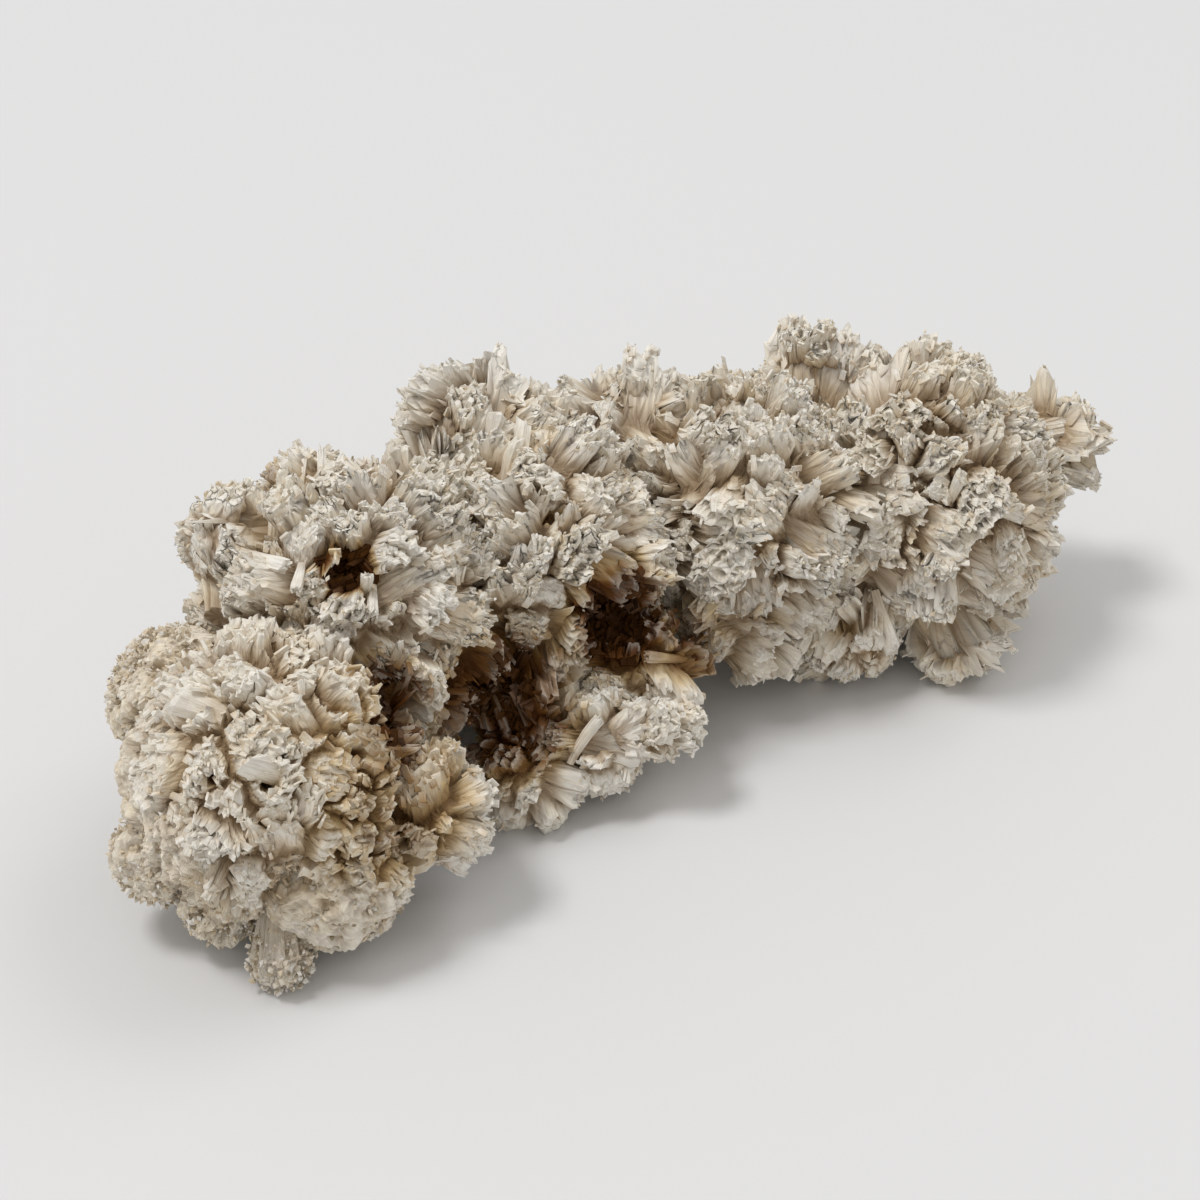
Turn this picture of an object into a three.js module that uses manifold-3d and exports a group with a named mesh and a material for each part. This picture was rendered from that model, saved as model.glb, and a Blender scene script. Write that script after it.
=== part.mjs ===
import * as THREE from "three";
import { mergeVertices } from "three/addons/utils/BufferGeometryUtils.js";
import Module from "manifold-3d";

// An albite cluster about 11 cm long: one natural piece of pale feldspar. It is a bent chain of rounded
// growths that have run together, and their whole surface is a crust of flat crystals that radiate from
// each growth's own centre.
// Millimetres, +Z up. X runs along the specimen, from the near end (-X) to the far tip (+X), and the
// origin is the middle of the footprint on the surface that the specimen stands on.

// The growths: where each centre lies, the radius of its solid heart, and how far its crystals stand out.
const GROWTHS = [
  { name: "near mass", at: [-39, -1, 14], radius: 11.5, reach: 3.5 },
  { name: "near low", at: [-39, -8, 8], radius: 5.5, reach: 2.5 },
  { name: "near foot", at: [-45.8, -9.6, 2.6], radius: 2.4, reach: 0.8 },
  { name: "near lobe", at: [-48.5, 2.8, 7.8], radius: 3.6, reach: 1.2 },
  { name: "near flank", at: [-41.5, 8.5, 18], radius: 5.4, reach: 1.6 },
  { name: "near fan", at: [-30, -9.8, 9.2], radius: 4.2, reach: 2.6 },
  { name: "near back", at: [-33, 10, 8.6], radius: 8.5, reach: 2.6 },
  { name: "shoulder", at: [-23, 8, 18.5], radius: 12, reach: 3.4 },
  { name: "left crest", at: [-23, 13, 27], radius: 4.2, reach: 3.2 },
  { name: "left corner", at: [-30, 15.4, 25], radius: 4.6, reach: 1.2 },
  { name: "middle", at: [-4.5, 6, 17.5], radius: 12, reach: 3.6 },
  { name: "middle crest", at: [-4, 12, 25.3], radius: 6.2, reach: 3.6 },
  { name: "middle back", at: [-8, 15, 9], radius: 8, reach: 2.6 },
  { name: "ridge", at: [9.8, 8.3, 23], radius: 5.4, reach: 3.6 },
  { name: "ledge root", at: [-15.2, -5.4, 4], radius: 4.6, reach: 1.6 },
  { name: "ledge", at: [-8.5, -8.5, 5.6], radius: 4.4, reach: 2 },
  { name: "ledge tip", at: [-4.5, -12, 7.5], radius: 2.4, reach: 2 },
  { name: "under ledge", at: [-2, -5.5, 9], radius: 5.2, reach: 3.2 },
  { name: "right middle", at: [17, 0, 16], radius: 11.5, reach: 3.6 },
  { name: "right crest", at: [28.5, 0.5, 23.5], radius: 5, reach: 3.4 },
  { name: "right back", at: [20, 8, 7.6], radius: 7.5, reach: 2.6 },
  { name: "under right", at: [11.6, -6, 8], radius: 4.6, reach: 2.6 },
  { name: "far mass", at: [33, -9, 15], radius: 12, reach: 3.6 },
  { name: "far tip", at: [47.4, -12, 17], radius: 3.4, reach: 4.2 },
  { name: "far low", at: [21.5, -11.8, 5.4], radius: 4.6, reach: 2.4 },
  { name: "far foot", at: [30.5, -18, 4.2], radius: 3.8, reach: 1.4 },
  { name: "far back", at: [33, 1, 7], radius: 7, reach: 2.4 },
  { name: "far under", at: [36.5, -15.5, 8.5], radius: 5, reach: 2.2 },
  { name: "near heel", at: [-47, -3, 4.2], radius: 3.6, reach: 0.8 },
];

// Open pits between the growths, each a rounded hollow that opens to the outside.
const PITS = [
  { name: "brown vug", at: [-4, -6.2, 16.5], radius: 4.2 },
  { name: "near vug", at: [-30.6, -5.6, 18.6], radius: 4 },
  { name: "stained gap", at: [-17.2, -4.8, 13], radius: 4 },
  { name: "shoulder pit", at: [-27.7, 2.4, 28], radius: 2.2 },
];

// The growths were measured from a line through the middle of the chain.
const SPINE = ["near mass", "shoulder", "middle", "right middle", "far mass"];

const CRUST_STEP = 1.95; // distance between neighbouring corners of the crust
const RING_RADIUS = 14; // the crust's usual distance from the spine, which sets how many corners a ring has
const CORNER_WANDER = 0.55; // how far a corner strays from its even place, as a share of the step
const LOW_CORNER = 0.1; // the least and the most that a corner stands out, as a share of the reach
const HIGH_CORNER = 1;

const PLATE_PITCH = 11; // distance between neighbouring large plates on a growth
const PLATE_THICKNESS = 1.7;
const PLATE_ROOT_WIDTH = 3;
const PLATE_EDGE_WIDTH = 5;
const ROOT_DEPTH = 1.5; // how deep a plate's root is buried in its growth
const LEAN = 0.5; // largest lean of a plate from straight out, in radians
const SMALLEST_DETAIL = 0.15; // slivers and steps under this size are smoothed away
const REST_HEIGHT = 0; // the feet are worn flat at this height
const FLOOR_CLEARANCE = 1.2; // plates start at least this far above the surface
const GOLDEN_ANGLE = Math.PI * (3 - Math.sqrt(5));

const wasm = await Module();
wasm.setup();

for (const ball of [...GROWTHS, ...PITS]) ball.centre = new THREE.Vector3(...ball.at);

// A repeatable number from 0 to 1 for three whole numbers.
function chance(a, b, c) {
  const wave = Math.sin(a * 78.233 + b * 12.9898 + c * 37.719) * 43758.5453;
  return wave - Math.floor(wave);
}

function solidFrom(geometry) {
  geometry.deleteAttribute("normal");
  geometry.deleteAttribute("uv");
  const merged = mergeVertices(geometry, 1e-4);
  return new wasm.Manifold(
    new wasm.Mesh({
      numProp: 3,
      vertProperties: new Float32Array(merged.attributes.position.array),
      triVerts: new Uint32Array(merged.index.array),
    }),
  );
}

// Where a ray from a point inside enters and leaves a ball, as two distances, or null if it misses.
function crossing(origin, direction, ball) {
  const toCentre = ball.centre.clone().sub(origin);
  const along = toCentre.dot(direction);
  const square = ball.radius ** 2 - toCentre.lengthSq() + along ** 2;
  if (square < 0 || along + Math.sqrt(square) < 0) return null;
  return [along - Math.sqrt(square), along + Math.sqrt(square)];
}

// The furthest growth surface on a ray, held back to a pit's floor where the ray ends in a pit.
function heartAlong(origin, direction) {
  let distance = 0;
  let reach = 0;
  for (const growth of GROWTHS) {
    const met = crossing(origin, direction, growth);
    if (met && met[1] > distance) [distance, reach] = [met[1], growth.reach];
  }
  for (const pit of PITS) {
    const met = crossing(origin, direction, pit);
    if (met && met[0] < distance && met[1] > distance) [distance, reach] = [met[0], reach / 3];
  }
  return { distance, reach };
}

// The crust: rings of corners round the spine, closed by a rounded cap at each end. A corner lies where its
// ray leaves the growths, plus its own share of the crystals' reach.
function crust() {
  const spine = new THREE.CatmullRomCurve3(
    SPINE.map((name) => GROWTHS.find((growth) => growth.name === name).centre),
    false,
    "catmullrom",
  );
  const length = spine.getLength();
  const cap = (Math.PI / 2) * RING_RADIUS;
  const rings = Math.round((length + 2 * cap) / CRUST_STEP);
  const perRing = Math.round((2 * Math.PI * RING_RADIUS) / CRUST_STEP);

  function corner(ring, slot) {
    const stray = (purpose) => CORNER_WANDER * (chance(ring, slot % perRing, purpose) - 0.5);
    const pole = ring === 0 || ring === rings;
    const place = pole ? ring : ring + stray(1);
    const travelled = (place / rings) * (length + 2 * cap) - cap;
    const t = THREE.MathUtils.clamp(travelled / length, 0, 1);
    const overshoot = travelled < 0 ? travelled : Math.max(0, travelled - length);
    const tilt = (overshoot / cap) * (Math.PI / 2);
    const turn = pole ? 0 : ((slot + stray(2)) / perRing) * 2 * Math.PI;
    const origin = spine.getPoint(t);
    const forward = spine.getTangent(t);
    const side = new THREE.Vector3(0, 0, 1).cross(forward).normalize();
    const up = forward.clone().cross(side);
    const direction = side.multiplyScalar(Math.cos(turn) * Math.cos(tilt));
    direction.addScaledVector(up, Math.sin(turn) * Math.cos(tilt)).addScaledVector(forward, Math.sin(tilt));
    const { distance, reach } = heartAlong(origin, direction);
    const share = THREE.MathUtils.lerp(LOW_CORNER, HIGH_CORNER, chance(ring, pole ? 0 : slot % perRing, 3));
    return origin.addScaledVector(direction, distance + reach * share);
  }

  const corners = [corner(0, 0)];
  for (let ring = 1; ring < rings; ring++) {
    for (let slot = 0; slot < perRing; slot++) corners.push(corner(ring, slot));
  }
  corners.push(corner(rings, 0));
  const lastCorner = corners.length - 1;
  const at = (ring, slot) => 1 + (ring - 1) * perRing + (slot % perRing);

  const faces = [];
  for (let slot = 0; slot < perRing; slot++) {
    faces.push(0, at(1, slot + 1), at(1, slot));
    faces.push(lastCorner, at(rings - 1, slot), at(rings - 1, slot + 1));
    for (let ring = 1; ring < rings - 1; ring++) {
      const [a, b, c, d] = [at(ring, slot), at(ring, slot + 1), at(ring + 1, slot + 1), at(ring + 1, slot)];
      if (chance(ring, slot, 4) > 0.5) faces.push(a, b, c, a, c, d);
      else faces.push(a, b, d, b, c, d);
    }
  }
  const geometry = new THREE.BufferGeometry().setFromPoints(corners);
  geometry.setIndex(faces);
  return solidFrom(geometry);
}

// A flat crystal plate along +Y from a narrow root, with an off-centre chisel point at its free edge.
function plate(length, rootWidth, edgeWidth, thickness, skew) {
  const shoulder = length * 0.8;
  const outline = new THREE.Shape([
    new THREE.Vector2(-rootWidth / 2, 0),
    new THREE.Vector2(rootWidth / 2, 0),
    new THREE.Vector2(edgeWidth / 2, shoulder),
    new THREE.Vector2((skew * edgeWidth) / 3, length),
    new THREE.Vector2(-edgeWidth / 2, shoulder * (1 - 0.12 * skew)),
  ]);
  const slab = new THREE.ExtrudeGeometry(outline, { depth: thickness, bevelEnabled: false });
  slab.translate(0, 0, -thickness / 2);
  return slab;
}

const insideAny = (point, balls, share, except) =>
  balls.some((ball) => ball !== except && point.distanceTo(ball.centre) < ball.radius * share);

// Plates stand at even spacing over a growth, wherever its surface is bare of other growths and pits.
function platesOf(growth, index) {
  const { centre, radius } = growth;
  const count = Math.max(5, Math.round((4 * Math.PI * radius * radius) / PLATE_PITCH ** 2));
  const plates = [];
  for (let k = 0; k < count; k++) {
    const height = 1 - (2 * k + 1) / count;
    const turn = k * GOLDEN_ANGLE + index;
    const ring = Math.sqrt(1 - height * height);
    const out = new THREE.Vector3(ring * Math.cos(turn), ring * Math.sin(turn), height);
    const root = centre.clone().addScaledVector(out, radius);
    const bare = !insideAny(root, GROWTHS, 1.02, growth) && !insideAny(root, PITS, 1.1);
    if (bare && root.z > FLOOR_CLEARANCE) plates.push(standingPlate(out, growth, index, k));
  }
  return plates;
}

// One plate, set on its growth with a lean and a spin of its own.
function standingPlate(out, { centre, radius, reach }, index, k) {
  const stray = (purpose) => chance(index, k, purpose) - 0.5;
  const aside = new THREE.Vector3(stray(1), stray(2), stray(3));
  const axis = out.clone().addScaledVector(aside, 2 * LEAN).normalize();
  const length = ROOT_DEPTH + reach * (1 + 0.35 * chance(index, k, 4));
  const size = Math.min(1, 0.45 + reach / 6);
  const skew = chance(index, k, 5) > 0.5 ? 1 : -1;
  const slab = plate(length, size * PLATE_ROOT_WIDTH, size * PLATE_EDGE_WIDTH, size * PLATE_THICKNESS, skew);
  slab.rotateY(2 * Math.PI * chance(index, k, 6));
  slab.applyQuaternion(new THREE.Quaternion().setFromUnitVectors(new THREE.Vector3(0, 1, 0), axis));
  slab.translate(...centre.clone().addScaledVector(out, radius - ROOT_DEPTH));
  return solidFrom(slab);
}

// Everything under the resting surface is worn away, which leaves the flat spots that it stands on.
function below(height) {
  const ground = new THREE.BoxGeometry(200, 200, 40);
  ground.translate(0, 0, height - 20);
  return solidFrom(ground);
}

// The whole piece. Slivers go, and so do sealed bubbles: they decompose as pieces of negative volume.
function clusterSolid() {
  const plates = GROWTHS.flatMap((growth, index) => platesOf(growth, index));
  const grown = wasm.Manifold.union([crust(), ...plates]).subtract(below(REST_HEIGHT));
  const pieces = grown.asOriginal().simplify(SMALLEST_DETAIL).decompose();
  return pieces.reduce((whole, piece) => (piece.volume() > whole.volume() ? piece : whole));
}

function geometryOf(solid) {
  const { vertProperties, triVerts } = solid.getMesh();
  const geometry = new THREE.BufferGeometry();
  geometry.setAttribute("position", new THREE.BufferAttribute(vertProperties, 3));
  geometry.setIndex(new THREE.BufferAttribute(triVerts, 1));
  geometry.computeVertexNormals();
  return geometry;
}

const albite = new THREE.MeshStandardMaterial({ color: 0xcfc4b2, roughness: 0.7, metalness: 0 });
const cluster = new THREE.Mesh(geometryOf(clusterSolid()), albite);
cluster.name = "albite_cluster";

const group = new THREE.Group();
group.add(cluster);

export default group;
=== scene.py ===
import bpy
import numpy as np
from mathutils import Matrix


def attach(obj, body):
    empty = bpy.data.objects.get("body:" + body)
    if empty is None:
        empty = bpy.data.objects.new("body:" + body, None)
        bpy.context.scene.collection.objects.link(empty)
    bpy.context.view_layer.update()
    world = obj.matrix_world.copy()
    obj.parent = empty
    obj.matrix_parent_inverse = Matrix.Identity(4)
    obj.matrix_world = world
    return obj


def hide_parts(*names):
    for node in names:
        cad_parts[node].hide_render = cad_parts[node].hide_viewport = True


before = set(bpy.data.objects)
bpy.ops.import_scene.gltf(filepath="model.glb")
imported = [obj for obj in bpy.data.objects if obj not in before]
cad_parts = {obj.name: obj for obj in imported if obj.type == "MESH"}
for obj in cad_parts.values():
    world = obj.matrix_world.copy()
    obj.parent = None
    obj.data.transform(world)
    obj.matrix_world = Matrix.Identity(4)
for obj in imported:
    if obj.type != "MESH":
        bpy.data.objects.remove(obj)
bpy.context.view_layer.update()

# The view.
# The photograph looks down on the specimen from its near left side through a longish lens, so that the
# rounded near end comes forward and the far tip points away to the right.

MM = 0.001
AZIMUTH = np.radians(-42.0)
ELEVATION = np.radians(35.0)
LENS_MM = 80.0
SENSOR_MM = 36.0
IMAGE_PIXELS = 1200.0
CAMERA_DISTANCE = 240.0 * MM
AIM = np.array([-6.0, -6.0, 19.0]) * MM

towards_camera = np.array([
    np.sin(AZIMUTH) * np.cos(ELEVATION),
    -np.cos(AZIMUTH) * np.cos(ELEVATION),
    np.sin(ELEVATION),
])
screen_right = np.array([np.cos(AZIMUTH), np.sin(AZIMUTH), 0.0])
screen_up = np.cross(towards_camera, screen_right)
eye = AIM + towards_camera * CAMERA_DISTANCE

camera_data = bpy.data.cameras.new("view")
camera_data.lens = LENS_MM
camera_data.sensor_width = SENSOR_MM
camera_data.clip_start = 0.01
camera = bpy.data.objects.new("view", camera_data)
turned = Matrix([list(screen_right), list(screen_up), list(towards_camera)]).transposed()
camera.matrix_world = Matrix.Translation(eye.tolist()) @ turned.to_4x4()
bpy.context.collection.objects.link(camera)
bpy.context.scene.camera = camera


def sight_lines(pixels):
    """Unit directions from the eye through pixels (x, y) of the 1200 x 1200 photograph:
    right * (x - 600) + up * (600 - y), both over the focal length in pixels, plus straight ahead."""
    focal = IMAGE_PIXELS * LENS_MM / SENSOR_MM
    offset = (np.asarray(pixels, float) - IMAGE_PIXELS / 2) / focal
    lines = offset[:, :1] * screen_right - offset[:, 1:] * screen_up - towards_camera
    return lines / np.linalg.norm(lines, axis=1, keepdims=True)


# The crust.
# The specimen is one piece of albite, a white to cream feldspar. It grew outward from many centres at
# once, and the growths ran together into a bent chain, closed all round by one rough crust of plates.

# Each growth: name, centre (mm), radius of its heart and reach of its crystals (mm), habit, and how white
# and how frosted with tiny grey crystals it is, from 0 to 1.
GROWTHS = [
    ("near mass", (-39, -1, 14), 11.6, 3.5, "petals", 0.6, 0.1),
    ("near low", (-38.7, -8.4, 7.6), 5.8, 2.2, "petals", 0.8, 0.05),
    ("near foot", (-45.6, -9.6, 2.5), 2.1, 1.4, "sugar", 0.0, 1.0),
    ("near lobe", (-48.5, 2.8, 7.8), 3.6, 1.2, "sugar", 0.3, 0.8),
    ("near flank", (-41.5, 8.5, 18), 5.4, 1.6, "sugar", 0.35, 0.8),
    ("near fan", (-30, -9.8, 9.2), 4.2, 2.6, "laths", 0.9, 0.15),
    ("near back", (-33, 10, 8.6), 8.5, 2.6, "laths", 0.5, 0.5),
    ("shoulder", (-23, 8, 18.5), 12, 3.4, "laths", 0.5, 0.8),
    ("left crest", (-23, 13, 27), 4.2, 3.2, "columns", 0.8, 0.5),
    ("left corner", (-30, 15.4, 25), 4.6, 1.2, "laths", 0.7, 0.8),
    ("middle", (-4.5, 6, 17.5), 12, 3.6, "laths", 0.6, 0.7),
    ("middle crest", (-4.5, 12.4, 25.8), 6.3, 3.6, "columns", 0.85, 0.4),
    ("middle back", (-8, 15, 9), 8, 2.6, "laths", 0.5, 0.5),
    ("ridge", (9.8, 8.3, 23), 5.4, 3.6, "laths", 0.7, 0.7),
    ("ledge root", (-15.2, -5.4, 4), 4.6, 1.6, "laths", 0.4, 0.3),
    ("ledge", (-8.5, -8.5, 5.6), 4.4, 2, "laths", 0.9, 0.3),
    ("ledge tip", (-4.5, -12, 7.5), 2.4, 2, "laths", 1.0, 0.2),
    ("under ledge", (-2, -5.5, 9), 5.2, 3.2, "petals", 0.3, 0.2),
    ("right middle", (17, 0, 16), 11.5, 3.6, "laths", 0.5, 0.6),
    ("right crest", (28.5, 0.5, 23.4), 5, 3.0, "laths", 0.5, 0.9),
    ("right back", (20, 8, 7.6), 7.5, 2.6, "laths", 0.5, 0.5),
    ("under right", (11.6, -6, 8), 4.6, 2.6, "laths", 0.4, 0.3),
    ("far mass", (33, -9, 15), 12, 3.6, "laths", 0.4, 0.5),
    ("far tip", (47.4, -12, 17), 3.4, 4.2, "laths", 0.3, 0.7),
    ("far low", (21.5, -11.8, 5.4), 4.6, 2.4, "laths", 0.3, 0.5),
    ("far foot", (30.5, -18, 4.2), 3.8, 1.4, "laths", 0.2, 0.8),
    ("far back", (33, 1, 7), 7, 2.4, "laths", 0.4, 0.5),
    ("far under", (36.5, -15.5, 8.5), 5, 2.2, "laths", 0.3, 0.4),
    ("near heel", (-46.4, -2.6, 4.8), 3.2, 0.8, "sugar", 0.2, 0.9),
    ("gap wall", (-12, -2, 8.5), 5.4, 1.8, "laths", 0.3, 0.1),
    ("tip end", (50.4, -13.6, 17.2), 2.3, 1.4, "laths", 0.3, 1.0),
]
# Where the near end is worn and sugary instead of bladed: centre and radius (mm).
SUGARY = [
    ((-49, 8, 14), 8.5), ((-42, 13, 17), 7.0), ((-47, -5, 4), 6.0), ((-42, -12, 4), 7.5),
    ((-51, -3, 12), 5.5),
]
# Where the crystals stayed short: centre, radius (mm) and the share of their length.
SHORT = [
    ((43.3, -9.5, 23.5), 6.0, 0.3), ((22, -14.5, 3), 6.0, 0.35), ((-8, -12, 3.5), 5.5, 0.45),
    ((33, -21, 3), 5.0, 0.4),
]
# Open pits between the growths: centre and radius (mm).
PITS = [
    ("brown vug", (-4, -6.2, 16.5), 4.2),
    ("near vug", (-30.6, -5.6, 18.6), 4.0),
    ("stained gap", (-17.2, -4.8, 13), 4.0),
    ("shoulder pit", (-27.7, 2.4, 28), 2.2),
]
# The crust is laid round a spine through the main growths, and round three short ones through those that
# hang below it: the growths on each spine, and the radius (mm) at which its corners are evenly spaced.
# The growths that are on no spine belong to the main one.
CRUSTS = {
    "main": (["near mass", "shoulder", "middle", "right middle", "far mass"], 13.5),
    "ledge": (["ledge root", "ledge", "ledge tip"], 4.6),
    "fan": (["near low", "near fan"], 5.0),
    "lower": (["under ledge", "under right"], 5.0),
}
CRUST_STEP = 0.2 * MM
UNDER_SPARE = 0.3  # how much sparser the crust's corners are underneath than round its sides
CRUST_SINK = 0.9 * MM  # between its sheaves the crust lies this far under the hearts' surface
# Crossing ridges of the crust's crystal faces: wavelength (mm), share of the height, direction.
CRUST_RIDGES = [
    (3.4, 0.34, (0.9, 0.3, 0.2)),
    (2.9, 0.3, (-0.3, 0.8, 0.5)),
    (1.7, 0.2, (0.2, -0.5, 0.9)),
    (1.2, 0.16, (0.6, 0.6, -0.6)),
]
CRUST_GRAIN = 0.05 * MM  # how far single corners stand in or out

growth_names = [growth[0] for growth in GROWTHS]
centres = np.array([growth[1] for growth in GROWTHS]) * MM
radii = np.array([growth[2] for growth in GROWTHS]) * MM
reaches = np.array([growth[3] for growth in GROWTHS]) * MM
habits = np.array([growth[4] for growth in GROWTHS])
whitenesses = np.array([growth[5] for growth in GROWTHS])
frostings = np.array([growth[6] for growth in GROWTHS])
pit_centres = np.array([pit[1] for pit in PITS]) * MM
pit_radii = np.array([pit[2] for pit in PITS]) * MM
sugary_centres = np.array([zone[0] for zone in SUGARY]) * MM
sugary_radii = np.array([zone[1] for zone in SUGARY]) * MM
chance = np.random.default_rng(11)


def unit(vectors):
    """Each vector over its own length."""
    return vectors / np.linalg.norm(vectors, axis=-1, keepdims=True)


def smooth_step(low, high, value):
    """0 below low, 1 above high, and t*t*(3 - 2t) between them."""
    t = np.clip((value - low) / (high - low), 0, 1)
    return t * t * (3 - 2 * t)


def ball_crossings(origins, directions, ball_centres, ball_radii):
    """Distances at which each ray enters and leaves each ball: along -/+ sqrt(r*r - d*d + along*along),
    with d the distance to the centre and along its part along the ray. Misses come back as -1."""
    to_centre = ball_centres - origins[:, None]
    along = np.einsum("nbc,nc->nb", to_centre, directions)
    square = ball_radii ** 2 - (to_centre ** 2).sum(2) + along ** 2
    half = np.sqrt(np.maximum(square, 0))
    return np.where(square > 0, along - half, -1.0), np.where(square > 0, along + half, -1.0)


def heart_along(origins, directions, members):
    """Where each ray leaves the last of these growths that it meets, held back to a pit's near side where
    it ends in a pit, with the growth's number and whether it is in a pit."""
    leaving = ball_crossings(origins, directions, centres[members], radii[members])[1]
    growth = members[leaving.argmax(1)]
    distance = np.maximum(leaving.max(1), 0)
    entering, leaving = ball_crossings(origins, directions, pit_centres, pit_radii)
    in_pit = np.zeros(len(distance), bool)
    for pit in range(len(PITS)):
        cut = (entering[:, pit] > 0) & (entering[:, pit] < distance) & (leaving[:, pit] > distance)
        distance = np.where(cut, entering[:, pit], distance)
        in_pit |= cut
    return distance, growth, in_pit


def ridges(points):
    """0 to 1: crossing triangle waves, each 2*|x - round(x)| with x the way along its direction over its
    wavelength. Where the waves' slopes meet they leave flat faces with straight edges."""
    height = np.zeros(len(points))
    for number, (wavelength, share, direction) in enumerate(CRUST_RIDGES):
        bend = 0.35 * np.sin(points @ np.roll(direction, 1) / (2.3 * MM) + number)
        x = points @ unit(np.array(direction)) / (wavelength * MM) + bend
        height += share * 2 * np.abs(x - np.round(x))
    return height


def share_of_growths(points, values):
    """A growth's value at each point, smoothly shared: weights fall as exp(-(gap - least gap) / 1.5 mm)."""
    gap = np.linalg.norm(points[:, None] - centres, axis=2) - radii
    weight = np.exp(-(gap - gap.min(1, keepdims=True)) / (1.5 * MM))
    return (weight * values).sum(1) / weight.sum(1)


def sugariness(points):
    """1 on the sugary growths and in the sugary places, falling to 0 over 2 mm round those places."""
    gap = np.linalg.norm(points[:, None] - sugary_centres, axis=2) - sugary_radii
    near_zone = smooth_step(0, 1, -gap.min(1) / (2 * MM))
    return np.maximum(share_of_growths(points, (habits == "sugar") * 1.0), near_zone)


def crease(points):
    """1 in the valley where two growths meet, falling off as exp(-difference of the two gaps / 1.2 mm)."""
    gap = np.sort(np.linalg.norm(points[:, None] - centres, axis=2) - radii, axis=1)
    return np.exp(-(gap[:, 1] - gap[:, 0]) / (1.2 * MM))


# Rusty stain from iron in the water that once filled the pockets: centre and radius (mm), and strength.
STAINS = [
    ((-4, -6.2, 16.5), 6.2, 0.85),
    ((-30.6, -5.6, 18.6), 5.6, 0.75),
    ((-17.2, -5.2, 12.5), 8.0, 0.7),
    ((-27.7, 2.4, 28), 2.8, 1.0),
    ((-25.6, 15.2, 30.2), 1.8, 0.55),
    ((2, -7, 10), 6.0, 0.5),
    ((-34, -9, 15), 10.0, 0.3),
    ((-40, -4, 16), 13.0, 0.07),
]


def staining(points):
    """0 to 1: the strongest of the soft stained balls, each strength * (1 - smooth step of distance)."""
    stain_and_shade = np.zeros(len(points))
    for centre, radius, strength in STAINS:
        distance = np.linalg.norm(points - np.array(centre) * MM, axis=1)
        clear = smooth_step(0.55 * radius * MM, 1.15 * radius * MM, distance)
        stain_and_shade = np.maximum(stain_and_shade, strength * (1 - clear))
    return stain_and_shade


def shortness(points):
    """The share of their length to which crystals grew: 1, or less within the short places, eased over
    the outer half of each."""
    share = np.ones(len(points))
    for centre, radius, least in SHORT:
        distance = np.linalg.norm(points - np.array(centre) * MM, axis=1)
        eased = smooth_step(0.5 * radius * MM, radius * MM, distance)
        share = np.minimum(share, least + (1 - least) * eased)
    return share


def spine_places(t, spine):
    """Points and directions on the Catmull-Rom curve through the spine's growths: between neighbours b
    and c of a, b, c, d it is b + s*(c-a)/2 + s^2*(2a-5b+4c-d)/2 + s^3*(3b-a-3c+d)/2."""
    knots = np.array([centres[growth_names.index(name)] for name in spine])
    knots = np.vstack([2 * knots[0] - knots[1], knots, 2 * knots[-1] - knots[-2]])
    spans = len(spine) - 1
    span = np.minimum((t * spans).astype(int), spans - 1)
    s = (t * spans - span)[:, None]
    a, b, c, d = (knots[span + step] for step in range(4))
    slope = (c - a) / 2
    bend = 2 * a - 5 * b + 4 * c - d
    twist = 3 * b - a - 3 * c + d
    place = b + s * slope + s ** 2 * bend / 2 + s ** 3 * twist / 2
    return place, unit(slope + s * bend + s ** 2 * 1.5 * twist)


def crust_rays(spine, ring_radius):
    """Rays out of the spine, in rings with half a ball of rings round each end: at turn t and tilt e the
    direction is (side * cos t + up * sin t) * cos e + forward * sin e. The turns lie closer on top."""
    along_spine = spine_places(np.linspace(0, 1, 200), spine)[0]
    spine_length = np.linalg.norm(np.diff(along_spine, axis=0), axis=1).sum()
    cap = np.pi / 2 * ring_radius
    rings = int(round((spine_length + 2 * cap) / CRUST_STEP))
    slots = int(round(2 * np.pi * ring_radius / CRUST_STEP))
    ring = np.repeat(np.arange(rings + 1), slots)
    slot = np.tile(np.arange(slots), rings + 1)
    inner = (ring > 0) & (ring < rings)
    place = ring + inner * chance.uniform(-0.3, 0.3, len(ring))
    travelled = place / rings * (spine_length + 2 * cap) - cap
    overshoot = np.minimum(travelled, 0) + np.maximum(travelled - spine_length, 0)
    tilt = overshoot / cap * np.pi / 2
    turn = (slot + inner * chance.uniform(-0.3, 0.3, len(ring))) / slots * 2 * np.pi
    turn = turn + UNDER_SPARE * np.cos(turn)
    origin, forward = spine_places(np.clip(travelled / spine_length, 0, 1), spine)
    side = unit(np.cross([0.0, 0.0, 1.0], forward))
    up = np.cross(forward, side)
    flat = side * np.cos(turn)[:, None] + up * np.sin(turn)[:, None]
    return origin, flat * np.cos(tilt)[:, None] + forward * np.sin(tilt)[:, None], rings, slots, inner


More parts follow.
